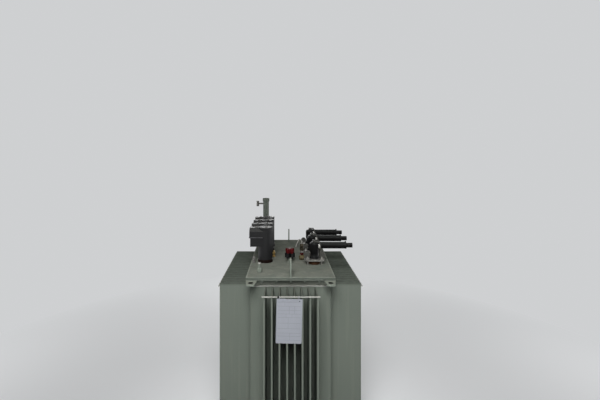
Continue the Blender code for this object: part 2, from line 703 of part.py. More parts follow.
def build_hv_terminals():
    foot = [(0, HV_FOOT_HEIGHT + HV_PLATE_THICK), (HV_NECK_RADIUS, HV_FOOT_HEIGHT + HV_PLATE_THICK),
            (HV_NECK_RADIUS, HV_FOOT_HEIGHT), (HV_FOOT_RADIUS, HV_FOOT_HEIGHT),
            (HV_FOOT_RADIUS, 0), (0, 0)]
    clamp = hv_clamp_mesh()
    elbow = hv_elbow_mesh()
    for k in range(HV_COUNT):
        spot = Vector((HV_X, HV_FIRST_Y + k * HV_PITCH, ON_COVER))
        turned(f"hv_bushing_foot_{k + 1}", foot, brown_ceramic, spot)
        place(clamp, f"hv_clamp_{k + 1}", steel, spot)
        place(elbow, f"hv_elbow_{k + 1}", rubber, spot)


def build_filler():
    """Tall filling pipe at the back, its cap and the small vent on its side."""
    profile = [(0, FILLER_HEIGHT), (FILLER_RADIUS, FILLER_HEIGHT),
               (FILLER_RADIUS, FILLER_FOOT_HEIGHT), (FILLER_FOOT_RADIUS, FILLER_FOOT_HEIGHT),
               (FILLER_FOOT_RADIUS, 0), (0, 0)]
    turned("filler_pipe", profile, paint, (FILLER_X, FILLER_Y, ON_COVER))
    rim = 0.003
    cap = [(0, FILLER_CAP_HEIGHT), (FILLER_CAP_RADIUS - rim, FILLER_CAP_HEIGHT),
           (FILLER_CAP_RADIUS, FILLER_CAP_HEIGHT - rim), (FILLER_CAP_RADIUS, 0), (0, 0)]
    turned("filler_cap", cap, paint, (FILLER_X, FILLER_Y, ON_COVER + FILLER_HEIGHT + SEAT))
    vent = turned("filler_vent", [(0, VENT_HEIGHT / 2), (VENT_RADIUS, VENT_HEIGHT / 2),
                                  (VENT_RADIUS, -VENT_HEIGHT / 2), (0, -VENT_HEIGHT / 2)], steel,
                  (FILLER_X - VENT_REACH, FILLER_Y, ON_COVER + VENT_Z), steps=12)
    stub_length = VENT_REACH - FILLER_RADIUS - SEAT
    stub = cutter(profile_mesh("vent_stub", [(0, stub_length), (VENT_STUB_RADIUS, stub_length),
                                             (VENT_STUB_RADIUS, 0), (0, 0)]), "vent_stub",
                  vent.location, (0, math.pi / 2, 0))
    spin_profile(stub, 10)
    combine(vent, stub, "UNION")


def build_cover_fittings():
    plug_top = POCKET_HEIGHT + POCKET_PLUG_HEIGHT
    pocket = [(0, plug_top), (POCKET_PLUG_RADIUS, plug_top), (POCKET_PLUG_RADIUS, POCKET_HEIGHT),
              (POCKET_RADIUS, POCKET_HEIGHT), (POCKET_RADIUS, 0.004), (POCKET_RADIUS + 0.004, 0.004),
              (POCKET_RADIUS + 0.004, 0), (0, 0)]
    turned("thermometer_pocket", pocket, paint, (POCKET_X, POCKET_Y, ON_COVER), steps=16)
    neck = RELIEF_RADIUS - 0.004
    relief = [(0, RELIEF_HEIGHT), (RELIEF_RADIUS - 0.004, RELIEF_HEIGHT),
              (RELIEF_RADIUS, RELIEF_HEIGHT - 0.006), (RELIEF_RADIUS, RELIEF_HEIGHT - 0.048),
              (neck, RELIEF_HEIGHT - 0.056), (neck, 0.012), (RELIEF_RADIUS + 0.004, 0.012),
              (RELIEF_RADIUS + 0.004, 0), (0, 0)]
    valve = turned("relief_valve", relief, paint, (RELIEF_X, RELIEF_Y, ON_COVER), steps=20)
    outlet = cutter(profile_mesh("relief_outlet", [(0, RELIEF_RADIUS * 2),
                                                   (RELIEF_OUTLET_RADIUS, RELIEF_RADIUS * 2),
                                                   (RELIEF_OUTLET_RADIUS, 0), (0, 0)]),
                    "relief_outlet",
                    (RELIEF_X, RELIEF_Y + RELIEF_OUTLET_DEPTH - RELIEF_RADIUS,
                     ON_COVER + RELIEF_OUTLET_Z), (math.pi / 2, 0, 0))
    spin_profile(outlet, 12)
    combine(valve, outlet, "DIFFERENCE")
    hinge = RELIEF_HEIGHT + SEAT
    arm = [(0, hinge), (0, hinge + LEVER_RISE - 2 * LEVER_RADIUS),
           (-2 * LEVER_RADIUS, hinge + LEVER_RISE), (-4 * LEVER_RADIUS, hinge + LEVER_RISE),
           (-LEVER_REACH, hinge + LEVER_RISE - LEVER_DROP)]
    route = [(RELIEF_X + x, RELIEF_Y, ON_COVER + z) for x, z in arm]
    place(wire_curve("relief_valve_lever", route, LEVER_RADIUS), "relief_valve_lever", steel)
    bleed = [(0, BLEED_HEIGHT), (BLEED_RADIUS * 0.6, BLEED_HEIGHT),
             (BLEED_RADIUS * 0.6, BLEED_HEIGHT * 0.75), (BLEED_RADIUS, BLEED_HEIGHT * 0.75),
             (BLEED_RADIUS, BLEED_HEIGHT * 0.4), (BLEED_RADIUS * 0.7, BLEED_HEIGHT * 0.4),
             (BLEED_RADIUS * 0.7, 0), (0, 0)]
    turned("bleed_plug", bleed, brass, (BLEED_X, BLEED_Y, ON_COVER), steps=12)


def build_rating_plate():
    """A bare metal plate that hangs in front of the end fins from two wire hooks."""
    rod_y = -(END_NOSE - ROD_FROM_NOSE)
    rod_z = FIN_TOP + ROD_RADIUS + SEAT
    top = rod_z - ROD_RADIUS - PLATE_DROP
    back = -(END_NOSE + SEAT)
    outline = rounded_outline(rectangle(PLATE_WIDTH, PLATE_HEIGHT), 0.004)
    place(flat_curve("rating_plate", [outline], PLATE_THICK), "rating_plate", bare_metal,
          (PLATE_CENTRE_X, back - PLATE_THICK / 2, top - PLATE_HEIGHT / 2),
          (math.pi / 2, PLATE_TILT, 0))
    hold = ROD_RADIUS + PLATE_HOOK_RADIUS + SEAT
    loop = [(rod_y + hold * math.cos(angle), rod_z + hold * math.sin(angle))
            for angle in (math.radians(30 * k) for k in range(7))]
    front = back - PLATE_THICK - PLATE_HOOK_RADIUS - SEAT
    down = [(front, rod_z - ROD_RADIUS), (front, top - PLATE_HOOK_TAIL)]
    left, right = (PLATE_CENTRE_X + side * PLATE_HOOK_SPREAD / 2 for side in (-1, 1))
    route = [(left, y, z) for y, z in loop + down]
    route += [(right, y, z) for y, z in reversed(loop + down)]
    place(wire_curve("rating_plate_hanger", route, PLATE_HOOK_RADIUS), "rating_plate_hanger",
          steel)


def build_drain_valve():
    wall = TANK_LENGTH / 2 + SEAT
    profile = [(0, DRAIN_LENGTH), (DRAIN_BODY_RADIUS, DRAIN_LENGTH),
               (DRAIN_BODY_RADIUS, DRAIN_LENGTH - 0.024), (DRAIN_PIPE_RADIUS, DRAIN_LENGTH - 0.028),
               (DRAIN_PIPE_RADIUS, 0.060), (DRAIN_BODY_RADIUS, 0.056), (DRAIN_BODY_RADIUS, 0.030),
               (DRAIN_PIPE_RADIUS, 0.026), (DRAIN_PIPE_RADIUS, 0.006), (DRAIN_BODY_RADIUS, 0.006),
               (DRAIN_BODY_RADIUS, 0), (0, 0)]
    turned("drain_valve", profile, paint, (DRAIN_X, wall, DRAIN_Z), (-math.pi / 2, 0, 0))


def build_runners():
    """Two channel bars along the tank, open sides outward, with holes to bolt them down."""
    web, lip, wide, high = RUNNER_WEB, RUNNER_LIP, RUNNER_WIDTH, RUNNER_HEIGHT
    channel = [(0, 0), (wide, 0), (wide, lip), (web, lip), (web, high - lip), (wide, high - lip),
               (wide, high), (0, high)]
    data = solid_from_curve(flat_curve("runner", [channel], RUNNER_LENGTH), "runner")
    data.transform(Matrix.Rotation(math.pi / 2, 4, "X"))
    data.transform(Matrix.Translation((RUNNER_SPACING / 2 - web, 0, 0)))
    hole_x = RUNNER_SPACING / 2 + (wide - web) / 2
    hole_y = RUNNER_LENGTH / 2 - RUNNER_HOLE_FROM_END
    for name, turn in (("runner_right", 0), ("runner_left", math.pi)):
        runner = place(data, name, paint, turn=(0, 0, turn))
        for end in (-1, 1):
            punch = bmesh.new()
            bmesh.ops.create_cone(punch, cap_ends=True, segments=16, radius1=RUNNER_HOLE / 2,
                                  radius2=RUNNER_HOLE / 2, depth=4 * lip)
            hole_data = bpy.data.meshes.new(f"{name}_hole")
            punch.to_mesh(hole_data)
            punch.free()
            side = 1 if turn == 0 else -1
            hole = cutter(hole_data, f"{name}_hole_{end + 2}", (side * hole_x, end * hole_y, 0))
            combine(runner, hole, "DIFFERENCE")


clear_scene()
parts = make_collection("distribution_transformer")
cutters = make_collection("cutters")
paint = make_material("grey_green_paint", (0.205, 0.238, 0.209), 0.45)
black_plastic = make_material("black_hood_plastic", (0.016, 0.016, 0.017), 0.5)
red_plastic = make_material("red_cap_plastic", (0.30, 0.02, 0.02), 0.4)
rubber = make_material("black_rubber", (0.012, 0.012, 0.013), 0.65)
brown_ceramic = make_material("brown_glaze", (0.060, 0.020, 0.012), 0.25)
steel = make_material("bright_steel", (0.55, 0.55, 0.54), 0.35, 1.0)
brass = make_material("brass", (0.50, 0.36, 0.12), 0.35, 1.0)
bare_metal = make_material("anodised_plate", (0.50, 0.50, 0.53), 0.5, 0.6)

build_runners()
build_tank_body()
build_walls()
build_fin_rods()
build_flange_gasket_cover()
build_lashing_lugs()
build_lifting_lugs()
build_tap_changer()
build_lv_terminals()
build_hv_terminals()
build_filler()
build_cover_fittings()
build_rating_plate()
build_drain_valve()
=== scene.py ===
# %% [markdown]
# # Dressing an oil-filled distribution transformer
# The solid model gives every part of the transformer its size and its place. This lesson adds what
# the eye expects on top of that: paint, plastic, rubber and metal, and the small things that a
# drawing leaves out, such as nuts, studs, weld beads and clamp screws. Everything stays in the
# solid model's own frame, in metres, with +Z up and the rating plate's end facing -Y.

# %% Load the solid model
import json
import math

import bmesh
import bpy
from mathutils import Matrix, Vector


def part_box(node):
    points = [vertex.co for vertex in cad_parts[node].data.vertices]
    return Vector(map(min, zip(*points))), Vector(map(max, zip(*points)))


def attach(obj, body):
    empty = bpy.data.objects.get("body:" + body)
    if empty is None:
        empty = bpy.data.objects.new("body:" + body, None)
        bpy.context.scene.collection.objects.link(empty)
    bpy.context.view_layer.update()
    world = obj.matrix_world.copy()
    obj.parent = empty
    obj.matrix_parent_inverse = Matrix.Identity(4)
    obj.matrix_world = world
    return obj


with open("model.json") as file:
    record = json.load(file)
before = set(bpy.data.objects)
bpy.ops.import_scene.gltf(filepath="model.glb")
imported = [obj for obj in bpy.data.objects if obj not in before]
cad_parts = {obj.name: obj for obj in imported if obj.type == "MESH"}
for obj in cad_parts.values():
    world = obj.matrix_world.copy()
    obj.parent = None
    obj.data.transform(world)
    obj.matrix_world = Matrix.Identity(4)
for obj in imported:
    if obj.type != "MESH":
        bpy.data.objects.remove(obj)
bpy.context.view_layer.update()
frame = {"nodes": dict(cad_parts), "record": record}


# %% Measure the solids
def box_of(node):
    """The low and the high corner of the box around a solid."""
    low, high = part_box(node)
    return Vector(low), Vector(high)


def middle(node):
    low, high = box_of(node)
    return (low + high) / 2


cover_low, cover_high = box_of("cover_plate")
flange_low, flange_high = box_of("tank_flange")
print("cover's top", round(cover_high.z, 4), "m, flange's underside", round(flange_low.z, 4), "m")

# %% [markdown]
# ## The camera
# The photograph was taken level, from a little above the cover and almost on the tank's centre
# line, with a wide lens. A level camera keeps the tank's upright edges upright. The lens axis
# meets the picture above its middle. Tilting the camera would also move the picture, but it would
# make the edges lean, so the lens is shifted instead.

# %% Camera
PHOTO_WIDTH_PX = 600
PHOTO_HEIGHT_PX = 400
FOCAL_LENGTH_PX = 370
LENS_AXIS_PX = (285, 163.4)
SENSOR_MM = 36
CAMERA_PLACE = (-0.034, -2.770, 1.771)

camera_data = bpy.data.cameras.new("photo_camera")
camera_data.sensor_width = SENSOR_MM
camera_data.lens = SENSOR_MM * FOCAL_LENGTH_PX / PHOTO_WIDTH_PX
camera_data.shift_x = (PHOTO_WIDTH_PX / 2 - LENS_AXIS_PX[0]) / PHOTO_WIDTH_PX
camera_data.shift_y = (LENS_AXIS_PX[1] - PHOTO_HEIGHT_PX / 2) / PHOTO_WIDTH_PX
camera = bpy.data.objects.new("photo_camera", camera_data)
bpy.context.scene.collection.objects.link(camera)
camera.location = CAMERA_PLACE
camera.rotation_euler = (math.pi / 2, 0, 0)
bpy.context.scene.camera = camera
print("lens", round(camera_data.lens, 2), "mm")

# %% [markdown]
# ## Helpers for finishes
# Each finish is a Principled shader whose colour, roughness and bump come from a few textures on
# Object coordinates. All pieces sit at the origin with their place in their mesh, so a pattern in
# metres has the same scale on a bolt as on the tank. Wiring every node by hand would fill pages,
# so a small class keeps the recipes short: each call adds one step, such as a stain or a bump,
# over the steps before it.

# %% Colours from a chart
def chip(red, green, blue):
    """A colour as a paint chart prints it, 0 to 255, turned into the shader's linear values."""
    values = [value / 255 for value in (red, green, blue)]
    return tuple(v / 12.92 if v <= 0.04045 else ((v + 0.055) / 1.055) ** 2.4 for v in values)


print("a mid grey chip is", round(chip(128, 128, 128)[0], 3), "to the shader")


# %% A finish in short calls
class Finish:
    """A Principled material under construction, with short calls for the nodes it is made of."""

    def __init__(self, name, colour, roughness, metallic=0.0, gloss=0.5):
        self.material = bpy.data.materials.new(name)
        self.material.use_nodes = True
        self.tree = self.material.node_tree
        self.shader = self.tree.nodes["Principled BSDF"]
        self.shader.inputs["Base Color"].default_value = (*colour, 1)
        self.shader.inputs["Roughness"].default_value = roughness
        self.shader.inputs["Metallic"].default_value = metallic
        self.shader.inputs["Specular IOR Level"].default_value = gloss
        self.colour = (*colour, 1)
        self.place = self.add("ShaderNodeTexCoord").outputs["Object"]

    def add(self, kind, inputs=(), **settings):
        node = self.tree.nodes.new(kind)
        for key, value in settings.items():
            setattr(node, key, value)
        for key, value in dict(inputs).items():
            if isinstance(value, bpy.types.NodeSocket):
                self.tree.links.new(value, node.inputs[key])
            else:
                node.inputs[key].default_value = value
        return node

    def noise(self, scale, detail=3.0, stretch=(1, 1, 1), roughness=0.5):
        """Soft noise, 0 to 1; stretch squeezes the pattern along an axis when above 1."""
        spot = self.add("ShaderNodeMapping", {"Vector": self.place, "Scale": stretch})
        node = self.add("ShaderNodeTexNoise", {"Vector": spot.outputs[0], "Scale": scale,
                                               "Detail": detail, "Roughness": roughness})
        return node.outputs["Fac"]

    def between(self, value, low, high, out_low=0.0, out_high=1.0):
        """The value's range from low to high, stretched to the range out_low to out_high."""
        node = self.add("ShaderNodeMapRange", {"Value": value, "From Min": low, "From Max": high,
                                               "To Min": out_low, "To Max": out_high})
        return node.outputs["Result"]

    def work_out(self, operation, first, second=0.0):
        """One step of arithmetic on two values, such as MULTIPLY or MAXIMUM."""
        return self.add("ShaderNodeMath", {0: first, 1: second}, operation=operation).outputs[0]

    def times(self, *values):
        """The product of two or more values."""
        result = values[0]
        for value in values[1:]:
            result = self.work_out("MULTIPLY", result, value)
        return result

    def along(self, axis, value=None):
        """How far a point lies along an axis; any other direction can be given as the value."""
        return self.add("ShaderNodeSeparateXYZ", {0: value or self.place}).outputs[axis]

    def upward(self, start=0.6):
        """How much a surface faces up: 0 on walls and undersides, 1 on level tops."""
        normal = self.add("ShaderNodeNewGeometry").outputs["Normal"]
        return self.between(self.along("Z", normal), start, 1.0)

    def stain(self, amount, colour):
        """Lays a colour over what is there already, as much as the amount says."""
        node = self.add("ShaderNodeMix", data_type="RGBA")
        sockets = {item.name: item for item in node.inputs if item.enabled}
        for key, value in (("Factor", amount), ("A", self.colour), ("B", (*colour, 1))):
            if isinstance(value, bpy.types.NodeSocket):
                self.tree.links.new(value, sockets[key])
            else:
                sockets[key].default_value = value
        self.colour = next(item for item in node.outputs if item.enabled)
        self.tree.links.new(self.colour, self.shader.inputs["Base Color"])

    def patches(self, scale, detail, low, high, amount, colour):
        """Stains cloudy patches: nothing where the noise is low, the whole amount where high."""
        self.stain(self.between(self.noise(scale, detail), low, high, 0.0, amount), colour)

    def bump(self, height, depth, strength=1.0):
        """Stands the surface out by up to depth metres where height is 1, over earlier bumps."""
        node = self.add("ShaderNodeBump", {"Height": height, "Distance": depth,
                                           "Strength": strength})
        normal = self.shader.inputs["Normal"]
        if normal.is_linked:
            self.tree.links.new(normal.links[0].from_socket, node.inputs["Normal"])
        self.tree.links.new(node.outputs[0], normal)

    def roughness(self, low, high, scale, detail=3, stretch=(1, 1, 1)):
        """Lets the roughness wander from low to high with a noise."""
        value = self.between(self.noise(scale, detail, stretch), 0.3, 0.7, low, high)
        self.tree.links.new(value, self.shader.inputs["Roughness"])


finishes = {}


def keep(name, finish):
    """Files a finish under the name that pieces ask for it by."""
    finishes[name] = finish.material
    print(name, "takes", len(finish.tree.nodes), "nodes")


# %% [markdown]
# ## The tank's paint
# A transformer tank has one even grey-green coat. What makes it read as real paint on real steel
# is small: a faint orange peel, large soft changes of tone where the coat is thicker, pale dust on
# the level tops, and thin runs down the walls. Painted textures could do this, but noise on Object
# coordinates has no seam and holds up from every side. The coat has no gloss: a glossy one would
# mirror the lamps in the far half of the cover. The same recipe takes a tone and a tint, and its
# paler copies paint the highlights that the rods, the lugs and the pocket's boss catch.

# %% Tank paint
def make_tank_paint(name="tank_paint", tone=1.0, tint=(1.0, 1.0, 1.0)):
    """The coat on the tank; a tone above 1 gives a paler copy that paints highlights."""
    def shade(*colour):
        return chip(*(value * tone * share for value, share in zip(colour, tint)))

    paint = Finish(name, shade(104, 110, 102), 0.6, gloss=0.0)
    clouds = paint.between(paint.noise(2.6, 4), 0.3, 0.7)
    paint.stain(paint.times(clouds, 0.30), shade(93, 101, 94))
    runs = paint.between(paint.noise(3.0, 3, stretch=(14, 14, 0.7)), 0.52, 0.75)
    paint.stain(paint.times(runs, 0.16), shade(131, 134, 123))
    dust_and_sheen = paint.between(paint.noise(7.0, 6, roughness=0.65), 0.35, 0.75, 0.12, 0.62)
    paint.stain(paint.times(dust_and_sheen, paint.upward()), shade(126, 126, 115))
    specks = paint.between(paint.noise(70.0, 2), 0.70, 0.78)
    paint.stain(paint.times(specks, 0.30), shade(74, 78, 71))
    paint.roughness(0.52, 0.68, 18.0)
    paint.bump(paint.noise(420.0, 2), 0.00035, 0.35)
    paint.bump(paint.noise(9.0, 2), 0.004, 0.20)
    return paint


keep("tank_paint", make_tank_paint())
# The paler copies paint highlights: on the lugs and the pocket's boss, and on the round rods and
# the ledge bar.
keep("pale_paint", make_tank_paint("pale_paint", 1.15))
keep("rod_paint", make_tank_paint("rod_paint", 1.44, (1.05, 1.0, 1.04)))

# %% [markdown]
# ## Wear and a painted highlight on the cover
# The cover is the tank's most handled face. Its top is scuffed, and spilt oil and rain left darker
# marks. Its top edges are painted pale as a highlight, for the light that a rounded edge catches,
# broken up by noise. That band runs along a rectangle: the distance from the middle, on each axis,
# says where it runs, so it needs no picture or mask.

# %% Cover paint
EDGE_HIGHLIGHT = 0.010


def rim(paint, half_x, half_y, width):
    """A band along the outline of a rectangle around the origin: 0 inside, 1 at its edge."""
    reach = []
    for axis, half in (("X", half_x), ("Y", half_y)):
        distance = paint.work_out("ABSOLUTE", paint.along(axis))
        reach.append(paint.between(distance, half - width, half))
    return paint.work_out("MAXIMUM", *reach)


def make_cover_paint():
    paint = make_tank_paint("cover_paint")
    broken_highlight = paint.between(paint.noise(40.0, 4), 0.3, 0.6, 0.4, 0.9)
    band = rim(paint, cover_high.x, cover_high.y, EDGE_HIGHLIGHT)
    # Painted highlight along the top edges, broken up by noise.
    paint.stain(paint.times(band, broken_highlight, paint.upward()), chip(158, 160, 150))
    scuffs = paint.between(paint.noise(16.0, 6, roughness=0.7), 0.50, 0.64, 0.0, 0.35)
    paint.stain(paint.times(scuffs, paint.upward()), chip(142, 141, 132))
    spills = paint.noise(11.0, 5, stretch=(1, 1.6, 1), roughness=0.6)
    marks = paint.between(spills, 0.56, 0.70, 0.0, 0.45)
    paint.stain(paint.times(marks, paint.upward()), chip(84, 86, 78))
    return paint


keep("cover_paint", make_cover_paint())

# %% [markdown]
# ## Painted light on the neck
# Under the flange the tank draws in to a neck, which stands on a ledge. The neck is painted paler
# towards its foot, as painted light for what the ledge throws back up into the dark gap. A stain
# that fades with height does this without a second mesh.

# %% Body paint
NECK_HEIGHT = 0.050
LEDGE_BLEND = 0.003
BOUNCE_RISE = 0.026


def make_body_paint():
    paint = make_tank_paint("body_paint")
    height = paint.along("Z")
    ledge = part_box("tank_body")[1][2] - NECK_HEIGHT
    above = paint.between(height, ledge - LEDGE_BLEND, ledge)
    fading = paint.between(height, ledge, ledge + BOUNCE_RISE, 0.85, 0.0)
    # Painted light: paler just above the ledge, fading out with height.
    paint.stain(paint.times(above, fading), chip(152, 155, 145))
    return paint


keep("body_paint", make_body_paint())

# %% [markdown]
# ## Painted shade on the fins
# The fins are narrow folds, and shade is painted on their top ends and deep between them, where
# little light reaches. The flat panels beside a row of fins get none. Distances from the outer
# edge, from the row's end and from the top say where the painted shade goes. The long sides get
# darker tops than the ends, so each gets a coat of its own.

# %% Wall paint
TOP_SHADE_COLOUR = chip(67, 71, 65)
GAP_SHADE_COLOUR = chip(52, 56, 51)
TOP_BAND = (0.022, 0.004)
GAP_DEPTH = (0.010, 0.090)
GAP_DROP = (0.030, 0.140)
BANK_BLEND = 0.002
SIDE_BANK = 0.420
END_BANK = 0.152


def make_wall_paint(name, wall, outward, sideways, bank, top_shade):
    """A corrugated wall's coat; bank is half the length of its row of fins."""
    paint = make_tank_paint(name)
    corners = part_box(wall)
    top = corners[1][2]
    outer = max(abs(corner["XYZ".index(outward)]) for corner in corners)
    height = paint.along("Z")
    top_shade_amount = paint.between(paint.noise(30.0, 4), 0.3, 0.7, 0.65 * top_shade, top_shade)
    near_top = paint.between(height, top - TOP_BAND[0], top - TOP_BAND[1])
    # Painted shade on the top ends of the fins, uneven by noise.
    paint.stain(paint.times(near_top, top_shade_amount), TOP_SHADE_COLOUR)
    inward = paint.between(paint.work_out("ABSOLUTE", paint.along(outward)),
                           outer - GAP_DEPTH[0], outer - GAP_DEPTH[1])
    among_fins = paint.between(paint.work_out("ABSOLUTE", paint.along(sideways)),
                               bank - BANK_BLEND, bank, 0.45, 0.0)
    low_down = paint.between(height, top - GAP_DROP[0], top - GAP_DROP[1])
    # Painted shade deep between the fins and lower down, none on the flat panels.
    paint.stain(paint.times(inward, low_down, among_fins), GAP_SHADE_COLOUR)
    return paint


keep("side_paint", make_wall_paint("side_paint", "left_fin_wall", "X", "Y", SIDE_BANK, 0.95))
keep("end_paint", make_wall_paint("end_paint", "front_fin_wall", "Y", "X", END_BANK, 0.2))

# %% [markdown]
# ## Painted shade for holes
# The insides of the lashing eyes and the plate's hole lie in shade, and this near-black finish,
# dull and a little cloudy, paints that shade. The rating plate's clip, a real dark part, wears it
# too.

# %% Painted shade for holes
# Near-black painted shade for the insides of holes; the plate's clip wears it too.
def make_hole_shade():
    shade_black = Finish("shade_and_clip_black", chip(18, 18, 17), 0.8, gloss=0.0)
    shade_black.patches(120.0, 3, 0.4, 0.7, 0.6, chip(30, 30, 28))
    return shade_black


keep("shade_and_clip_black", make_hole_shade())

# %% [markdown]
# ## Hoods of black plastic
# The low-voltage hoods are moulded in black plastic with a fine grain. Their tops are stained grey,
# partly with dust and partly as a painted sheen of the light from above, and the rim at the joint
# between box and lid is painted pale as a highlight. Black things are never quite black: a value
# near 20 in 255 leaves room for their shadows. The grain is bump, since it is far too fine for
# geometry.

# %% Hood plastic with dust and painted sheen, and the rim's painted highlight
def make_hood_plastic():
    plastic = Finish("hood_plastic", chip(22, 22, 23), 0.5, gloss=0.24)
    plastic.patches(9.0, 3, 0.4, 0.8, 0.22, chip(36, 36, 37))
    dust_and_sheen = plastic.between(plastic.noise(26.0, 5, roughness=0.6), 0.3, 0.72, 0.5, 0.8)
    level = plastic.between(plastic.upward(0.0), 0.3, 0.7)
    # Grey on the tops: partly dust, partly a painted sheen of the light from above.
    plastic.stain(plastic.times(dust_and_sheen, level), chip(62, 62, 60))
    plastic.roughness(0.45, 0.62, 30.0)
    plastic.bump(plastic.noise(1400.0, 1), 0.00015, 0.5)
    return plastic


def make_rim_highlight():
    # Pale grey that paints the highlight on the rim's edge, with darker patches.
    dust_and_sheen = Finish("rim_highlight", chip(88, 88, 90), 0.7, gloss=0.1)
    dust_and_sheen.patches(50.0, 4, 0.35, 0.7, 0.7, chip(58, 58, 60))
    return dust_and_sheen


keep("hood_plastic", make_hood_plastic())
keep("rim_highlight", make_rim_highlight())

# %% [markdown]
# ## Rubber
# The high-voltage elbows are smooth moulded rubber with a slight grey bloom and dust on top. The
# gasket is cut from duller sheet. Both are rough blacks with little gloss, so that they look soft
# beside the plastic.

# %% Elbow and gasket rubber
def make_elbow_rubber():
    rubber = Finish("elbow_rubber", chip(10, 10, 10), 0.5, gloss=0.08)
    rubber.patches(22.0, 4, 0.45, 0.8, 0.3, chip(26, 28, 28))
    rubber.stain(rubber.times(rubber.upward(0.1), 0.45), chip(66, 68, 66))
    rubber.roughness(0.34, 0.56, 40.0)
    rubber.bump(rubber.noise(500.0, 2), 0.0002, 0.4)
    return rubber


def make_gasket_rubber():
    rubber = Finish("gasket_rubber", chip(26, 26, 26), 0.75, gloss=0.1)
    rubber.patches(60.0, 3, 0.4, 0.7, 0.5, chip(44, 44, 42))
    rubber.bump(rubber.noise(900.0, 2), 0.0003, 0.5)
    return rubber


keep("elbow_rubber", make_elbow_rubber())
keep("gasket_rubber", make_gasket_rubber())

# %% [markdown]
# ## The tap changer's two stars
# The tap changer is turned by a black star with a smaller red star on top. The hollows between
# the lobes get a painted shade, strongest on their walls. The hollows are the walls nearest the
# axis, so a distance from the axis finds them, measured against the star's own box. The plain red
# is for the sealing ring of the relief valve.

# %% Red and black plastic
HOLLOW_SHADE = (0.62, 0.92)


def make_cap_plastic():
    plastic = Finish("cap_plastic", chip(64, 19, 20), 0.45, gloss=0.02)
    plastic.patches(60.0, 4, 0.35, 0.75, 0.5, chip(52, 15, 16))
    plastic.stain(plastic.times(plastic.upward(0.7), 0.12), chip(96, 60, 58))
    plastic.bump(plastic.noise(900.0, 1), 0.0001, 0.4)
    return plastic


def make_star_plastic(name, node, colour, hollow_shade_colour):
    """The painted shade in the hollows fades out between two shares of the way to the lobes' tips.
    """
    plastic = Finish(name, chip(*colour), 0.55, gloss=0.02)
    low, high = box_of(node)
    centre = middle(node)
    flat = plastic.add("ShaderNodeMapping", {"Vector": plastic.place, "Scale": (1, 1, 0),
                                             "Location": (-centre.x, -centre.y, 0)})
    reach = plastic.add("ShaderNodeVectorMath", {0: flat.outputs[0]}, operation="LENGTH")
    tip = (high.x - low.x) / 2
    hollow_shade = plastic.between(reach.outputs["Value"], HOLLOW_SHADE[0] * tip, HOLLOW_SHADE[1] * tip, 1.0, 0.0)
    walls = plastic.between(plastic.upward(0.0), 0.3, 0.7, 1.0, 0.25)
    # Painted shade in the hollows, strongest on their walls.
    plastic.stain(plastic.times(hollow_shade, walls), chip(*hollow_shade_colour))
    plastic.bump(plastic.noise(900.0, 1), 0.0001, 0.4)
    return plastic


keep("cap_plastic", make_cap_plastic())
keep("star_red", make_star_plastic("star_red", "tap_changer_cap", (78, 20, 22), (36, 10, 11)))
keep("star_black", make_star_plastic("star_black", "tap_changer_knob", (34, 34, 34), (6, 6, 6)))

# %% [markdown]
# ## Brown bushings
# The feet of the bushings are brown insulators. The low-voltage ones are nearly black, and the
# high-voltage ones are a lighter amber. Clean glaze would shine, but these are dusty and sit in
# shade, so they keep only a little gloss, with uneven patches and a soft swell.

# %% Brown glaze
def make_brown_glaze(name="brown_glaze", colour=(30, 20, 17)):
    glaze = Finish(name, chip(*colour), 0.4, gloss=0.04)
    glaze.patches(30.0, 3, 0.35, 0.7, 0.7, chip(*(0.65 * value for value in colour)))
    glaze.roughness(0.24, 0.42, 25.0)
    glaze.bump(glaze.noise(60.0, 2), 0.0006, 0.3)
    return glaze


keep("brown_bushing", make_brown_glaze())
keep("amber_bushing", make_brown_glaze("amber_glaze", (66, 46, 33)))

# %% [markdown]
# ## Steel and zinc
# Only the bails' pads are bright steel, brushed one way. The other bare parts are plated or
# dipped in zinc, which is grey and cloudy and shows no sharp reflection, so it is only partly
# metallic here. A tone above 1 makes the same recipe paler, for newer nuts.

# %% Bright steel and dull zinc
def make_bright_steel():
    steel = Finish("bright_steel", chip(186, 185, 180), 0.36, metallic=1.0)
    steel.patches(55.0, 4, 0.4, 0.75, 0.5, chip(142, 141, 137))
    steel.roughness(0.25, 0.48, 120.0, stretch=(1, 1, 5))
    steel.bump(steel.noise(700.0, 2, stretch=(1, 1, 4)), 0.0001, 0.4)
    return steel


def make_dull_zinc(name="dull_zinc", tone=1.0):
    zinc = Finish(name, chip(112 * tone, 111 * tone, 107 * tone), 0.55, metallic=0.4, gloss=0.2)
    zinc.patches(45.0, 4, 0.35, 0.7, 0.7, chip(88 * tone, 87 * tone, 83 * tone))
    zinc.roughness(0.45, 0.65, 60.0)
    zinc.bump(zinc.noise(300.0, 2), 0.0002, 0.4)
    return zinc


keep("bright_steel", make_bright_steel())
keep("dull_zinc", make_dull_zinc())
keep("pale_zinc", make_dull_zinc("pale_zinc", 1.3))

# %% [markdown]
# ## Zinc on the clamps
# Each elbow's clamp is a flat bar with two ears that stand up beside the elbow. Its zinc is paler
# than the plain dull zinc, for the light on the bar, and the ears above the bar are darkened as
# painted shade beside the elbow. The bar lies level with the top of the bushing's foot, so that
# height says where the painted shade starts.

# %% Clamp zinc
EAR_BLEND = (0.001, 0.005)


def make_clamp_zinc():
    zinc = make_dull_zinc("clamp_zinc", 1.17)
    height = zinc.along("Z")
    bar_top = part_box("hv_bushing_foot_1")[1][2]
    ear_shade = zinc.between(height, bar_top - EAR_BLEND[0], bar_top + EAR_BLEND[1], 0.0, 0.9)
    # Painted shade on the ears, above the top of the bar.
    zinc.stain(ear_shade, chip(66, 66, 62))
    zinc.patches(70.0, 4, 0.45, 0.65, 0.5, chip(60, 60, 56))
    return zinc


keep("clamp_zinc", make_clamp_zinc())

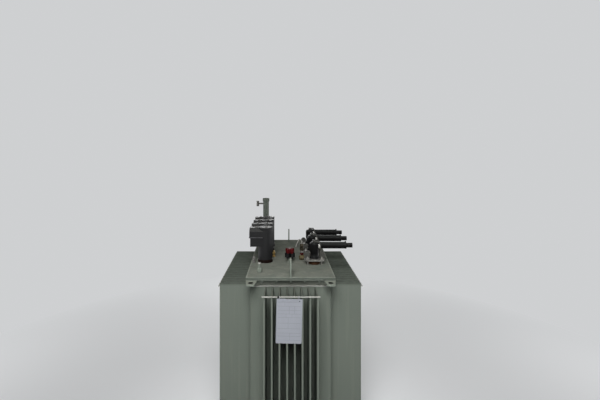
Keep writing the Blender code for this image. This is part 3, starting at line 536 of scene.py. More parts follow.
# %% [markdown]
# ## Brass
# The bleed plug is the only clean brass. The relief valve has gone brown and grey, and its
# hexagon is in between. Tarnish takes away the metal's mirror first, so the older a piece, the
# less metallic and the darker it is made.

# %% Brass, new and old
def make_brass(name="brass_fitting", colour=(168, 142, 92), metallic=1.0):
    brass = Finish(name, chip(*colour), 0.45, metallic=metallic, gloss=0.2)
    brass.patches(90.0, 4, 0.35, 0.7, 0.7, chip(*(0.67 * value for value in colour)))
    brass.roughness(0.38, 0.6, 80.0)
    return brass


keep("brass_fitting", make_brass())
keep("old_brass", make_brass("old_brass", (62, 57, 45), 0.4))
keep("base_brass", make_brass("base_brass", (88, 78, 50), 0.2))

# %% [markdown]
# ## The rating plate's metal
# The plate is anodised aluminium: pale, satin and faintly blue. As a full metal it would show
# whatever stands in front of it, so it is a pale satin coat with brushed streaks. Its print is a
# slightly darker grey.

# %% Plate metal and print
def make_plate_metal():
    plate = Finish("plate_metal", chip(142, 145, 152), 0.5, gloss=0.3)
    plate.patches(14.0, 4, 0.35, 0.75, 0.35, chip(132, 135, 142))
    plate.roughness(0.38, 0.52, 300.0, 2, stretch=(0.1, 1, 3))
    plate.bump(plate.noise(600.0, 1, stretch=(0.05, 1, 2)), 0.00005, 0.4)
    return plate


keep("rating_plate_metal", make_plate_metal())
keep("plate_print", Finish("plate_print", chip(120, 123, 130), 0.6, gloss=0.1))
print(len(finishes), "finishes")

# %% [markdown]
# ## Finishing the ready-made solids
# The solid model arrives as loose triangles with razor edges. A Weld modifier joins the triangles,
# a small Bevel lets edges catch the light, and a short node group smooths the round faces and
# leaves real corners sharp. Editing each mesh would do as well, but modifiers leave the model's
# own shape as it is.

# %% Smoothing round faces
SMOOTH_ANGLE = math.radians(34)


def make_smoothing_group():
    """Shades faces smooth, and keeps an edge sharp where its faces turn by more than the limit."""
    group = bpy.data.node_groups.new("smooth_round_faces", "GeometryNodeTree")
    group.interface.new_socket("Geometry", in_out="INPUT", socket_type="NodeSocketGeometry")
    group.interface.new_socket("Geometry", in_out="OUTPUT", socket_type="NodeSocketGeometry")
    start = group.nodes.new("NodeGroupInput")
    faces = group.nodes.new("GeometryNodeSetShadeSmooth")
    faces.domain = "FACE"
    edges = group.nodes.new("GeometryNodeSetShadeSmooth")
    edges.domain = "EDGE"
    angle = group.nodes.new("GeometryNodeInputMeshEdgeAngle")
    limit = group.nodes.new("FunctionNodeCompare")
    limit.data_type = "FLOAT"
    limit.operation = "LESS_EQUAL"
    limit.inputs[1].default_value = SMOOTH_ANGLE
    end = group.nodes.new("NodeGroupOutput")
    join = group.links.new
    join(start.outputs[0], faces.inputs["Geometry"])
    join(faces.outputs[0], edges.inputs["Geometry"])
    join(angle.outputs["Unsigned Angle"], limit.inputs[0])
    join(limit.outputs[0], edges.inputs["Shade Smooth"])
    join(edges.outputs[0], end.inputs[0])
    return group


smoothing = make_smoothing_group()
print("edges stay sharp past", round(math.degrees(SMOOTH_ANGLE)), "degrees")

# %% Joining and rounding
WELD_DISTANCE = 0.00001
BEVEL_SEGMENTS = 2
BEVEL_ANGLE = math.radians(40)


def finish_edges(item, bevel=0.0):
    """Joins loose triangles, rounds sharp edges if asked, and smooths what is round."""
    weld = item.modifiers.new("weld", "WELD")
    weld.merge_threshold = WELD_DISTANCE
    if bevel:
        rounding = item.modifiers.new("rounded_edges", "BEVEL")
        rounding.width = bevel
        rounding.segments = BEVEL_SEGMENTS
        rounding.limit_method = "ANGLE"
        rounding.angle_limit = BEVEL_ANGLE
    item.modifiers.new("smooth", "NODES").node_group = smoothing


# %% [markdown]
# ## Which finish goes where
# The record names a plain finish for each solid, and that is right for most of them. A second
# table names the solids whose real surface differs, such as the worn cover or the dirty fins. Both
# tables go by the start of a solid's name, so that one row serves all four lashing lugs.

# %% Bevels and special finishes
BEVELS = {"tank_body": 0.002, "tank_flange": 0.001, "lashing_lug": 0.0015, "lifting_lug": 0.0015,
          "runner": 0.0015, "rating_plate": 0.0003, "tap_changer_base": 0.001,
          "lv_bushing_foot": 0.002, "hv_bushing_foot": 0.0015, "filler": 0.0012,
          "thermometer_pocket": 0.001, "drain_valve": 0.0012, "bleed_plug": 0.0008}
SPECIAL = {"tank_body": "body_paint", "cover_plate": "cover_paint",
           "left_fin_wall": "side_paint", "right_fin_wall": "side_paint",
           "front_fin_wall": "end_paint", "rear_fin_wall": "end_paint",
           # The paler coats of the rods and lugs paint the highlights they catch.
           "left_fin_rod": "rod_paint", "right_fin_rod": "rod_paint",
           "front_fin_rod": "rod_paint", "rear_fin_rod": "rod_paint",
           "lashing_lug": "pale_paint", "lifting_lug": "pale_paint",
           "tap_changer_cap": "star_red", "tap_changer_knob": "star_black",
           "hv_bushing_foot": "amber_bushing", "hv_clamp": "clamp_zinc",
           "filler_vent": "dull_zinc", "relief_valve": "old_brass",
           "relief_valve_lever": "pale_zinc", "rating_plate_hanger": "rating_plate_metal"}


def lookup(table, node, otherwise):
    """The table's entry whose key is the longest start of the node's name."""
    starts = [start for start in table if node.startswith(start)]
    return table[max(starts, key=len)] if starts else otherwise


for row in frame["record"]["subparts"]:
    solid = frame["nodes"][row["node"]]
    solid.data.materials.clear()
    solid.data.materials.append(finishes[lookup(SPECIAL, row["node"], row["material_slot"])])
    finish_edges(solid, lookup(BEVELS, row["node"], 0.0))
print(len(frame["nodes"]), "solids finished")

# %% [markdown]
# ## Tools for the small parts
# Nuts, washers and studs are simple solids, so they come from bmesh.ops.create_cone and
# create_cube. Rings and weld beads are outlines spun around an axis. Each part is placed by a
# matrix that stands it on a face. Dozens of them share one mesh and so one object: they never
# move apart, and one object is easier to find and to switch off than a hundred.

# %% Standing a part on a face
SCREW_SIDES = 16
STUD_SIDES = 12


def standing(place, axis=(0, 0, 1), turn=0.0):
    """The matrix that stands a part on a place, with the part's own +Z along an axis."""
    lean = Vector(axis).to_track_quat("Z", "Y").to_matrix().to_4x4()
    return Matrix.Translation(place) @ lean @ Matrix.Rotation(turn, 4, "Z")


def add_cylinder(shape, stand, radius, low, high, segments=SCREW_SIDES, top_radius=None):
    centre = Matrix.Translation((0, 0, (low + high) / 2))
    bmesh.ops.create_cone(shape, cap_ends=True, segments=segments, radius1=radius,
                          radius2=radius if top_radius is None else top_radius,
                          depth=high - low, matrix=stand @ centre)


def add_block(shape, low, high, stand=Matrix()):
    low, high = Vector(low), Vector(high)
    size = Matrix.Diagonal((*(high - low), 1))
    bmesh.ops.create_cube(shape, size=1, matrix=stand @ Matrix.Translation((low + high) / 2) @ size)


# %% Outlines spun around an axis
RING_STEPS = 32
TURNED_STEPS = 24
DOUBLES = 1e-6


def spin(shape, stand, verts, edges, steps):
    bmesh.ops.spin(shape, geom=verts + edges, cent=stand.translation, steps=steps,
                   axis=stand.to_3x3() @ Vector((0, 0, 1)), angle=math.tau, use_merge=True)


def add_ring(shape, stand, inner, outer, low, high, steps=RING_STEPS):
    """A band: a rectangle beside the axis, spun once around it."""
    corners = [(inner, 0, low), (outer, 0, low), (outer, 0, high), (inner, 0, high)]
    verts = [shape.verts.new(stand @ Vector(corner)) for corner in corners]
    edges = [shape.edges.new((verts[k - 1], verts[k])) for k in range(4)]
    spin(shape, stand, verts, edges, steps)


def add_turned(shape, stand, profile, steps=TURNED_STEPS):
    """A half outline of radius and height, from axis to axis, spun once around."""
    before = set(shape.verts)
    verts = [shape.verts.new(stand @ Vector((radius, 0, height))) for radius, height in profile]
    edges = [shape.edges.new(pair) for pair in zip(verts, verts[1:])]
    spin(shape, stand, verts, edges, steps)
    made = [vert for vert in shape.verts if vert not in before]
    bmesh.ops.remove_doubles(shape, verts=made, dist=DOUBLES)


# %% From a shape to a piece
def new_piece(name, shape, finish, body="tank", bevel=0.0):
    """Makes an object of a finished bmesh and lets it ride on one of the transformer's bodies."""
    bmesh.ops.recalc_face_normals(shape, faces=shape.faces[:])
    data = bpy.data.meshes.new(name)
    shape.to_mesh(data)
    shape.free()
    piece = bpy.data.objects.new(name, data)
    bpy.context.scene.collection.objects.link(piece)
    data.materials.append(finishes[finish])
    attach(piece, body)
    finish_edges(piece, bevel)
    print(name, len(data.polygons), "faces")


# %% [markdown]
# ## Flange nuts
# The cover is held to the tank by studs, and their nuts sit under the flange, where rain can't
# stand on them. There are five on each end between the lashing eyes, and twelve on each long side.
# A nut's other sizes are shares of its thread. The places follow from the flange's own box, so
# they stay right if the tank changes size. No two nuts stop at the same turn.

# %% A nut on its stud
WASHER_THICK = 0.18
WASHER_RADIUS = 1.05
WASHER_SIDES = 18
NUT_HEIGHT = 0.8
NUT_WIDTH = 1.55
CHAMFER_DROP = 0.12
CHAMFER_RADIUS = 0.48


def add_hexagon(shape, stand, width, low, high):
    """A hexagon whose outer rim is cut at an angle; its width is measured across its flats."""
    corner = width / math.sqrt(3)
    shoulder = high - CHAMFER_DROP * width
    add_cylinder(shape, stand, corner, low, shoulder, 6)
    add_cylinder(shape, stand, corner, shoulder, high, 6, CHAMFER_RADIUS * width)


def add_nut(shape, place, axis, thread, stud=0.0, turn=0.0):
    """A washer and a nut, with the end of the stud standing out of it."""
    stand = standing(place, axis, turn)
    washer = WASHER_THICK * thread
    top = washer + NUT_HEIGHT * thread
    add_cylinder(shape, stand, WASHER_RADIUS * thread, 0, washer, WASHER_SIDES)
    add_hexagon(shape, stand, NUT_WIDTH * thread, washer, top)
    add_cylinder(shape, stand, thread / 2, 0, top + stud, STUD_SIDES)


print("an M12 nut is", round(12 * NUT_WIDTH, 1), "mm across its flats")

# %% Flange nuts
FLANGE_THREAD = 0.012
STUD_END = 0.007
NUTS_ON_END = 5
NUT_PITCH_ON_END = 0.0857
NUTS_ON_SIDE = 12
NUT_PITCH_ON_SIDE = 0.089
NUT_FROM_EDGE = 0.016


def make_flange_nuts():
    shape = bmesh.new()
    spots = []
    for k in range(NUTS_ON_END):
        x = (k - (NUTS_ON_END - 1) / 2) * NUT_PITCH_ON_END
        spots += [(x, flange_low.y + NUT_FROM_EDGE), (x, flange_high.y - NUT_FROM_EDGE)]
    for k in range(NUTS_ON_SIDE):
        y = (k - (NUTS_ON_SIDE - 1) / 2) * NUT_PITCH_ON_SIDE
        spots += [(flange_low.x + NUT_FROM_EDGE, y), (flange_high.x - NUT_FROM_EDGE, y)]
    for k, (x, y) in enumerate(spots):
        add_nut(shape, (x, y, flange_low.z), (0, 0, -1), FLANGE_THREAD, STUD_END, turn=0.7 * k)
    new_piece("flange_nuts", shape, "tank_paint", bevel=0.0004)


make_flange_nuts()

# %% [markdown]
# ## Weld beads
# Lugs and walls are welded on, and the paint goes over the welds. A weld bead catches a thin
# broken line of light, which tells the eye that two sheets meet there. Bump could fake it, but
# not the outline. Each bead is a wavy outline spun with six steps: it looks right from close by
# and costs little.

# %% A bead along a line
BEAD_STEPS = 6
RIPPLE_PITCH = 1.3
RIPPLE_DIP = 0.72
WOBBLE = 0.1
WOBBLE_TURN = 2.3


def add_bead(shape, start, end, radius):
    """A weld: a thin rod whose outline swells and shrinks at each ripple the welder left."""
    start, end = Vector(start), Vector(end)
    length = (end - start).length
    count = 2 * round(length / (RIPPLE_PITCH * radius))
    profile = [(0, 0)]
    for k in range(1, count):
        swell = 1.0 if k % 2 else RIPPLE_DIP
        wobble = WOBBLE * math.sin(WOBBLE_TURN * k)
        profile.append((radius * (swell + wobble), length * k / count))
    profile.append((0, length))
    add_turned(shape, standing(start, end - start), profile, steps=BEAD_STEPS)


def add_bead_frame(shape, low, high, z, radius):
    """A bead all the way around a rectangle at one height."""
    corners = [(low.x, low.y, z), (high.x, low.y, z), (high.x, high.y, z), (low.x, high.y, z)]
    for k in range(4):
        add_bead(shape, corners[k - 1], corners[k], radius)


# %% Welds on the lugs
LUG_BEAD = 0.0028
LASHING_LUGS = ("front_left", "front_right", "rear_left", "rear_right")


def make_lug_welds():
    shape = bmesh.new()
    for node in ("lifting_lug_front", "lifting_lug_rear"):
        low, high = box_of(node)
        for x in (low.x, high.x):
            add_bead(shape, (x, low.y, low.z), (x, high.y, low.z), LUG_BEAD)
    for corner in LASHING_LUGS:
        low, high = box_of(f"lashing_lug_{corner}")
        y = flange_low.y if "front" in corner else flange_high.y
        add_bead(shape, (low.x + LUG_BEAD, y, high.z), (high.x - LUG_BEAD, y, high.z), LUG_BEAD)
    new_piece("lug_welds", shape, "tank_paint")


make_lug_welds()

# %% Welds on the tank
WALL_BEAD = 0.0034
SHEET = 0.003

front_wall_low, front_wall_high = box_of("front_fin_wall")
wall_reach = Vector((front_wall_high.x, box_of("left_fin_wall")[1].y + SHEET, 0))


def make_tank_welds():
    shape = bmesh.new()
    for x in (-wall_reach.x, wall_reach.x):
        for y in (-wall_reach.y, wall_reach.y):
            add_bead(shape, (x, y, front_wall_low.z), (x, y, front_wall_high.z), WALL_BEAD)
    add_bead_frame(shape, -wall_reach, wall_reach, front_wall_low.z, WALL_BEAD)
    new_piece("tank_welds", shape, "tank_paint")


make_tank_welds()

# %% [markdown]
# ## The ledge bar
# A round bar closes the top of the corrugated walls, all the way around, and it is the pale line
# just under the neck: its paler coat paints the highlight along it. Four plain cylinders that meet
# at the corners are enough, since the lugs hide the joints.

# %% Ledge bar
LEDGE_BAR = 0.0042
LEDGE_BAR_RISE = 0.003


def make_ledge_bar():
    out_x, out_y = wall_reach.x, wall_reach.y
    z = front_wall_high.z + LEDGE_BAR_RISE
    shape = bmesh.new()
    for y in (-out_y, out_y):
        stand = standing((-out_x, y, z), (1, 0, 0))
        add_cylinder(shape, stand, LEDGE_BAR, 0, 2 * out_x, STUD_SIDES)
    for x in (-out_x, out_x):
        stand = standing((x, -out_y, z), (0, 1, 0))
        add_cylinder(shape, stand, LEDGE_BAR, 0, 2 * out_y, STUD_SIDES)
    new_piece("ledge_bar", shape, "rod_paint")


make_ledge_bar()

# %% [markdown]
# ## Shade in the gasket's gap
# The gap between cover and flange shows as a thin dark line of shade, and black rubber strips
# paint it. The solid gasket lies further in, so four strips between it and the rim carry the line
# on.

# %% Painted shade in the gasket's gap
GASKET_SHY = 0.0008
GASKET_GAP = 0.0002


def make_gasket_gap_shade():
    gasket_low, gasket_high = box_of("cover_gasket")
    shy = Vector((GASKET_SHY, GASKET_SHY, 0))
    low, high = flange_low + shy, flange_high - shy
    bottom, top = gasket_low.z, gasket_high.z
    shape = bmesh.new()
    for start, end in ((low.y, gasket_low.y - GASKET_GAP), (gasket_high.y + GASKET_GAP, high.y)):
        add_block(shape, (low.x, start, bottom), (high.x, end, top))
    for start, end in ((low.x, gasket_low.x - GASKET_GAP), (gasket_high.x + GASKET_GAP, high.x)):
        add_block(shape, (start, gasket_low.y, bottom), (end, gasket_high.y, top))
    # Black strips that paint the shade in the gap between cover and flange.
    new_piece("gasket_gap_shade", shape, "gasket_rubber")


make_gasket_gap_shade()

# %% [markdown]
# ## Shade in the lashing eyes
# The lugs are painted all over, but the insides of their eyes lie in shade, and a thin near-black
# ring in each hole paints it, just proud of its wall and just short of both faces. Colouring the
# faces of the hole would need the solid's mesh to be changed.

# %% Painted shade rings in the holes
LASHING_HOLE = 0.015
LASHING_HOLE_REACH = 0.040
SHADE_RING = (0.0012, 0.0002)
SHADE_RING_ENDS = (0.0008, 0.0004)
SHADE_RING_STEPS = 24


def make_hole_shade_rings():
    shape = bmesh.new()
    for corner in LASHING_LUGS:
        low, high = box_of(f"lashing_lug_{corner}")
        front = "front" in corner
        y = flange_low.y - LASHING_HOLE_REACH if front else flange_high.y + LASHING_HOLE_REACH
        place = ((low.x + high.x) / 2, y, low.z)
        add_ring(shape, standing(place), LASHING_HOLE - SHADE_RING[0], LASHING_HOLE + SHADE_RING[1],
                 SHADE_RING_ENDS[0], high.z - low.z - SHADE_RING_ENDS[1], SHADE_RING_STEPS)
    # Near-black rings that paint the shade inside the eyes.
    new_piece("lug_hole_shade_rings", shape, "shade_and_clip_black")


make_hole_shade_rings()

# %% [markdown]
# ## Nuts on the elbows' clamps
# Each elbow is held down by a steel plate on four studs, with a small nut on its front face. The
# studs run down to the cover, so each is one cylinder under its nut.

# %% Studs and nuts of the clamps
HV_NUMBERS = (1, 2, 3)
HV_THREAD = 0.010
HV_STUD_END = 0.006
HV_STUD_REACH = (0.047, 0.036)
FACE_THREAD = 0.006
FACE_STUD_END = 0.002
FACE_NUT_DROP = 0.006


def make_hv_nuts():
    shape = bmesh.new()
    for number in HV_NUMBERS:
        foot = f"hv_bushing_foot_{number}"
        centre = middle(foot)
        foot_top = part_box(foot)[1][2]
        for k, (side_x, side_y) in enumerate(((-1, -1), (1, -1), (-1, 1), (1, 1))):
            x = centre.x + side_x * HV_STUD_REACH[0]
            y = centre.y + side_y * HV_STUD_REACH[1]
            stud = standing((x, y, cover_high.z))
            add_cylinder(shape, stud, HV_THREAD / 2, 0, foot_top - cover_high.z)
            add_nut(shape, (x, y, foot_top), (0, 0, 1), HV_THREAD, HV_STUD_END,
                    turn=0.4 + 0.9 * k + number)
        face = (centre.x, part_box(f"hv_clamp_{number}")[0][1], foot_top - FACE_NUT_DROP)
        add_nut(shape, face, (0, -1, 0), FACE_THREAD, FACE_STUD_END, turn=0.5)
    new_piece("hv_nuts", shape, "pale_zinc", bevel=0.0004)


make_hv_nuts()

# %% [markdown]
# ## Pads of the bails
# A wire bail over the elbow's head ends in a bright pad with a screw on each side. The pads are
# the brightest small things on the cover, so they are worth their own solids: a block and the
# head of its screw, at the height of the sleeve.

# %% Bail pads
SLEEVE_HEIGHT = 0.1253
BAIL_HALF_WIDTH = 0.0375
PAD_SIZE = (0.015, 0.005, 0.026)
PAD_FROM_AXIS = 0.032
PAD_SCREW_RADIUS = 0.0055
PAD_SCREW_HEAD = 0.004


def make_bail_pads():
    shape = bmesh.new()
    half = Vector(PAD_SIZE) / 2
    for number in HV_NUMBERS:
        centre = middle(f"hv_bushing_foot_{number}")
        for side in (-1, 1):
            spot = Vector((centre.x + PAD_FROM_AXIS, centre.y + side * BAIL_HALF_WIDTH,
                           cover_high.z + SLEEVE_HEIGHT))
            add_block(shape, -half, half, Matrix.Translation(spot))
            head = standing(spot + Vector((0, side * half.y, 0)), (0, side, 0))
            add_cylinder(shape, head, PAD_SCREW_RADIUS, 0, PAD_SCREW_HEAD)
    new_piece("bail_pads", shape, "bright_steel", bevel=0.0004)


make_bail_pads()

# %% [markdown]
# ## Bands on the sleeves
# A black band is drawn tight around the end of each sleeve by a small screw that lies across it.
# The band is a ring that reaches a little into the rubber, so no gap shows between them.

# %% Sleeve bands
SLEEVE_RADIUS = 0.0225
BAND_WIDTH = 0.010
BAND_FROM_END = 0.052
BAND_GRIP = 0.001
BAND_PROUD = 0.0008
BAND_SCREW_RADIUS = 0.0035
BAND_SCREW_LENGTH = 0.018
BAND_SCREW_ASIDE = 0.010
BAND_SCREW_RISE = 0.003


def make_hv_bands():
    shape = bmesh.new()
    z = cover_high.z + SLEEVE_HEIGHT
    for number in HV_NUMBERS:
        elbow = f"hv_elbow_{number}"
        band_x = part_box(elbow)[1][0] - BAND_FROM_END
        y = middle(elbow).y
        add_ring(shape, standing((band_x, y, z), (1, 0, 0)), SLEEVE_RADIUS - BAND_GRIP,
                 SLEEVE_RADIUS + BAND_PROUD, 0, BAND_WIDTH)
        screw = standing((band_x + BAND_WIDTH / 2, y - BAND_SCREW_ASIDE,
                          z + SLEEVE_RADIUS + BAND_SCREW_RISE), (0, 1, 0))
        add_cylinder(shape, screw, BAND_SCREW_RADIUS, 0, BAND_SCREW_LENGTH, STUD_SIDES)
    new_piece("hv_sleeve_bands", shape, "elbow_rubber", bevel=0.0004)


make_hv_bands()

# %% [markdown]
# ## Rims of the low-voltage hoods
# Each hood is two mouldings, a box and a lid over it, with a thin rim where they meet. The rim is
# one flat block a little wider than the hood, and only its edge shows; its pale grey paints the
# highlight that this edge catches.

# %% Hood rims
LV_NUMBERS = (1, 2, 3, 4)
RIM_Z = 0.177
RIM_THICK = 0.005
RIM_LIP = 0.0025
RIM_SHORT_OF_AXIS = 0.015


def make_hood_rims():
    shape = bmesh.new()
    z = cover_high.z + RIM_Z
    for number in LV_NUMBERS:
        low, high = box_of(f"lv_hood_{number}")
        axis_x = middle(f"lv_bushing_foot_{number}").x
        add_block(shape, (low.x - RIM_LIP, low.y - RIM_LIP, z - RIM_THICK),
                  (axis_x - RIM_SHORT_OF_AXIS, high.y + RIM_LIP, z))
    # The rim's pale grey paints a highlight along the joint.
    new_piece("lv_hood_rims", shape, "rim_highlight", bevel=0.0006)


make_hood_rims()

# %% [markdown]
# ## Screws of the hoods
# Two screws on each hood's top hold the mouldings together: one over the bushing, and one over
# the box, whose top is a little lower.

# %% Hood screws
HOOD_SCREW_THREAD = 0.008
HOOD_SCREW_REACH = (0.008, -0.062)
HOOD_SCREW_ASIDE = 0.012
BOX_STEP = 0.002


def make_hood_screws():
    shape = bmesh.new()
    for number in LV_NUMBERS:
        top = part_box(f"lv_hood_{number}")[1][2]
        foot = middle(f"lv_bushing_foot_{number}")
        for k, reach in enumerate(HOOD_SCREW_REACH):
            place = (foot.x + reach, foot.y - HOOD_SCREW_ASIDE, top - BOX_STEP * k)
            add_nut(shape, place, (0, 0, 1), HOOD_SCREW_THREAD, turn=0.5 * number + k)
    new_piece("lv_hood_screws", shape, "dull_zinc", bevel=0.0003)


make_hood_screws()

# %% [markdown]
# ## Terminal and filler screws
# A tall stud near the cover's left edge is a terminal, with three nuts down its length. The
# filling pipe stands on a small flange with four screws. They are small, but a bare cover would
# look unfinished.

# %% Fasteners on the cover
TERMINAL_PLACE = (0.022, 0.335)
TERMINAL_THREAD = 0.012
TERMINAL_STUD = 0.030
TERMINAL_NUTS = ((0.0, 0.2), (0.0125, 0.6), (0.0265, 0.1))
FILLER_THREAD = 0.006
FILLER_STUD_END = 0.002
FILLER_CIRCLE = 0.0315
FILLER_FLANGE_TOP = 0.0105


def make_cover_fasteners():
    shape = bmesh.new()
    terminal = Vector((cover_low.x + TERMINAL_PLACE[0], cover_low.y + TERMINAL_PLACE[1],
                       cover_high.z))
    for rise, turn in TERMINAL_NUTS:
        stud = 0.0 if rise else TERMINAL_STUD
        add_nut(shape, terminal + Vector((0, 0, rise)), (0, 0, 1), TERMINAL_THREAD, stud, turn)
    filler = middle("filler_pipe")
    for k in range(4):
        angle = math.pi / 4 + k * math.pi / 2
        spot = (filler.x + FILLER_CIRCLE * math.cos(angle),
                filler.y + FILLER_CIRCLE * math.sin(angle), cover_high.z + FILLER_FLANGE_TOP)
        add_nut(shape, spot, (0, 0, 1), FILLER_THREAD, FILLER_STUD_END, turn=k)
    new_piece("cover_fasteners", shape, "dull_zinc", bevel=0.0003)


make_cover_fasteners()

# %% [markdown]
# ## The thermometer pocket
# The pocket stands in a welded boss with a sloping shoulder and is closed by a plated plug. The
# boss is round, so its half outline is spun once around, and the plug is a hexagon.

# %% Boss and plug of the pocket
BOSS_RADIUS = 0.0150
BOSS_HEIGHT = 0.030
BOSS_SHOULDER = 0.7 * BOSS_HEIGHT
BOSS_TOP_RADIUS = 0.8 * BOSS_RADIUS
PLUG_WIDTH = 0.019
PLUG_HEIGHT = 0.008


def make_pocket_boss():
    low, high = box_of("thermometer_pocket")
    pocket = middle("thermometer_pocket")
    shape = bmesh.new()
    profile = [(0, 0), (BOSS_RADIUS, 0), (BOSS_RADIUS, BOSS_SHOULDER),
               (BOSS_TOP_RADIUS, BOSS_HEIGHT), (0, BOSS_HEIGHT)]
    add_turned(shape, standing((pocket.x, pocket.y, low.z)), profile)
    # The boss takes the paler coat, which paints its highlight.
    new_piece("pocket_boss", shape, "pale_paint", bevel=0.0008)
    shape = bmesh.new()
    plug = standing((pocket.x, pocket.y, high.z), turn=0.3)
    add_hexagon(shape, plug, PLUG_WIDTH, 0, PLUG_HEIGHT)
    new_piece("pocket_plug", shape, "pale_zinc", bevel=0.0004)


make_pocket_boss()

# %% [markdown]
# ## The relief valve's collars
# The relief valve is screwed in by a brass hexagon at its foot. Above that it has a red sealing
# ring and a grey nut. Each is a simple band or hexagon around the valve's own axis, measured from
# the cover.

# %% Rings and hexagons of the relief valve
RED_RING_RADII = (0.0100, 0.0135)
RED_RING_Z = (0.036, 0.048)
RED_RING_STEPS = 20
RELIEF_NUT_WIDTH = 0.027
RELIEF_NUT_Z = (0.050, 0.068)
RELIEF_FOOT_WIDTH = 0.034
RELIEF_FOOT_HEIGHT = 0.032

relief = middle("relief_valve")
relief_foot = (relief.x, relief.y, cover_high.z)


def make_relief_rings():
    shape = bmesh.new()
    add_ring(shape, standing(relief_foot), *RED_RING_RADII, *RED_RING_Z, RED_RING_STEPS)
    new_piece("relief_red_ring", shape, "cap_plastic", bevel=0.0006)
    shape = bmesh.new()
    add_hexagon(shape, standing(relief_foot), RELIEF_NUT_WIDTH, *RELIEF_NUT_Z)
    new_piece("relief_nut", shape, "dull_zinc", bevel=0.0004)
    shape = bmesh.new()
    add_hexagon(shape, standing(relief_foot, turn=0.4), RELIEF_FOOT_WIDTH, 0, RELIEF_FOOT_HEIGHT)
    new_piece("relief_hexagon", shape, "base_brass", bevel=0.0006)


make_relief_rings()

# %% [markdown]
# ## The bleed plug's hexagon
# The bleed plug beside the hoods is turned with a spanner, so it has a hexagon at its foot.

# %% Bleed hexagon
BLEED_WIDTH = 0.022
BLEED_HEIGHT = 0.010


def make_bleed_hexagon():
    shape = bmesh.new()
    bleed = middle("bleed_plug")
    stand = standing((bleed.x, bleed.y, cover_high.z), turn=0.2)
    add_hexagon(shape, stand, BLEED_WIDTH, 0, BLEED_HEIGHT)
    new_piece("bleed_hexagon", shape, "brass_fitting", bevel=0.0004)


make_bleed_hexagon()

# %% [markdown]
# ## The tap changer's screw
# One screw holds both stars on their shaft, and its head shows in the middle of the red one. It
# turns with them, so it is the one new piece that rides on the handle and not on the tank.

# %% Cap screw
CAP_SCREW_RADIUS = 0.005
CAP_SCREW_SUNK = 0.001
CAP_SCREW_HEAD = 0.0012
CAP_SCREW_SIDES = 20


def make_cap_screw():
    cap = middle("tap_changer_cap")
    cap_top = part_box("tap_changer_cap")[1][2]
    shape = bmesh.new()
    add_cylinder(shape, standing((cap.x, cap.y, cap_top)), CAP_SCREW_RADIUS, -CAP_SCREW_SUNK,
                 CAP_SCREW_HEAD, CAP_SCREW_SIDES)
    new_piece("tap_cap_screw", shape, "old_brass", body="tap_handle", bevel=0.0004)


make_cap_screw()

# %% [markdown]
# ## Ruled lines on the rating plate
# A real plate is a table of small boxes. Here the boxes stay empty, but their ruled lines keep the
# plate from looking like a blank card. The lines are thin strips that lie on the plate and follow
# its slight tilt. Rows are shares of the plate's height from its top, and each column has its
# place across, its top and its bottom, as shares too.

# %% Plate rules
PLATE_TILT = 0.024
PLATE_SIZE = (0.146, 0.250)
PLATE_MARGIN = 0.008
RULE_HALF_WIDTH = 0.00055
RULE_PROUD = 0.0002
ROWS = (0.075, 0.165, 0.255, 0.335, 0.415, 0.545, 0.665, 0.765, 0.835, 0.925)
COLUMNS = ((0.30, 0.075, 0.165), (0.50, 0.165, 0.335), (0.72, 0.165, 0.335), (0.36, 0.335, 0.415),
           (0.62, 0.335, 0.415), (0.46, 0.415, 0.665), (0.54, 0.765, 0.925))


def make_plate_rules():
    centre = middle("rating_plate")
    face = (centre.x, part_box("rating_plate")[0][1], centre.z)
    stand = Matrix.Translation(face) @ Matrix.Rotation(PLATE_TILT, 4, "Y")
    wide, tall = PLATE_SIZE
    right = wide / 2 - PLATE_MARGIN
    shape = bmesh.new()
    for row in ROWS:
        z = tall / 2 - row * tall
        add_block(shape, (-right, -RULE_PROUD, z - RULE_HALF_WIDTH),
                  (right, RULE_PROUD, z + RULE_HALF_WIDTH), stand)
    for across, top, bottom in COLUMNS:
        x = (2 * across - 1) * right
        add_block(shape, (x - RULE_HALF_WIDTH, -RULE_PROUD, tall / 2 - bottom * tall),
                  (x + RULE_HALF_WIDTH, RULE_PROUD, tall / 2 - top * tall), stand)
    new_piece("plate_rules", shape, "plate_print")


make_plate_rules()

# %% [markdown]
# ## The rating plate's clip
# A dark clip around the rod keeps the hanger from sliding, and a round hole near the plate's top
# right corner shows dark, so a flat near-black disc on the plate paints its shade. Both are the
# same
# dark finish, so they are one piece: a ring, and the disc.

# %% Plate clip
CLIP_RADII = (0.0038, 0.0062)
CLIP_WIDTH = 0.009
CLIP_STEPS = 16
CLIP_FROM_LEFT = 0.010
PLATE_HOLE_RADIUS = 0.0028
PLATE_HOLE_FROM_RIGHT = 0.016
PLATE_HOLE_FROM_TOP = 0.014
DISC_HALF = 0.0004


def make_plate_clip():
    plate_low, plate_high = box_of("rating_plate")
    rod = middle("front_fin_rod")
    clip = standing((plate_low.x + CLIP_FROM_LEFT, rod.y, rod.z), (1, 0, 0))
    shape = bmesh.new()
    add_ring(shape, clip, *CLIP_RADII, 0, CLIP_WIDTH, CLIP_STEPS)
    hole = (plate_high.x - PLATE_HOLE_FROM_RIGHT, plate_low.y, plate_high.z - PLATE_HOLE_FROM_TOP)
    # A near-black disc that paints the shade of the plate's hole.
    add_cylinder(shape, standing(hole, (0, -1, 0)), PLATE_HOLE_RADIUS, -DISC_HALF, DISC_HALF)
    new_piece("plate_clip", shape, "shade_and_clip_black")


make_plate_clip()

# %% [markdown]
# ## The drain valve
# At the far end the drain valve is closed by a hexagon plug, and the screws of its gland show
# around it. They are out of the camera's sight, but a view from behind shows them.

# %% Drain plug and gland screws
DRAIN_PLUG_WIDTH = 0.026
DRAIN_PLUG_LENGTH = 0.012
GLAND_CIRCLE = 0.0205
GLAND_SCREW_RADIUS = 0.003
GLAND_SCREW_HEAD = 0.003


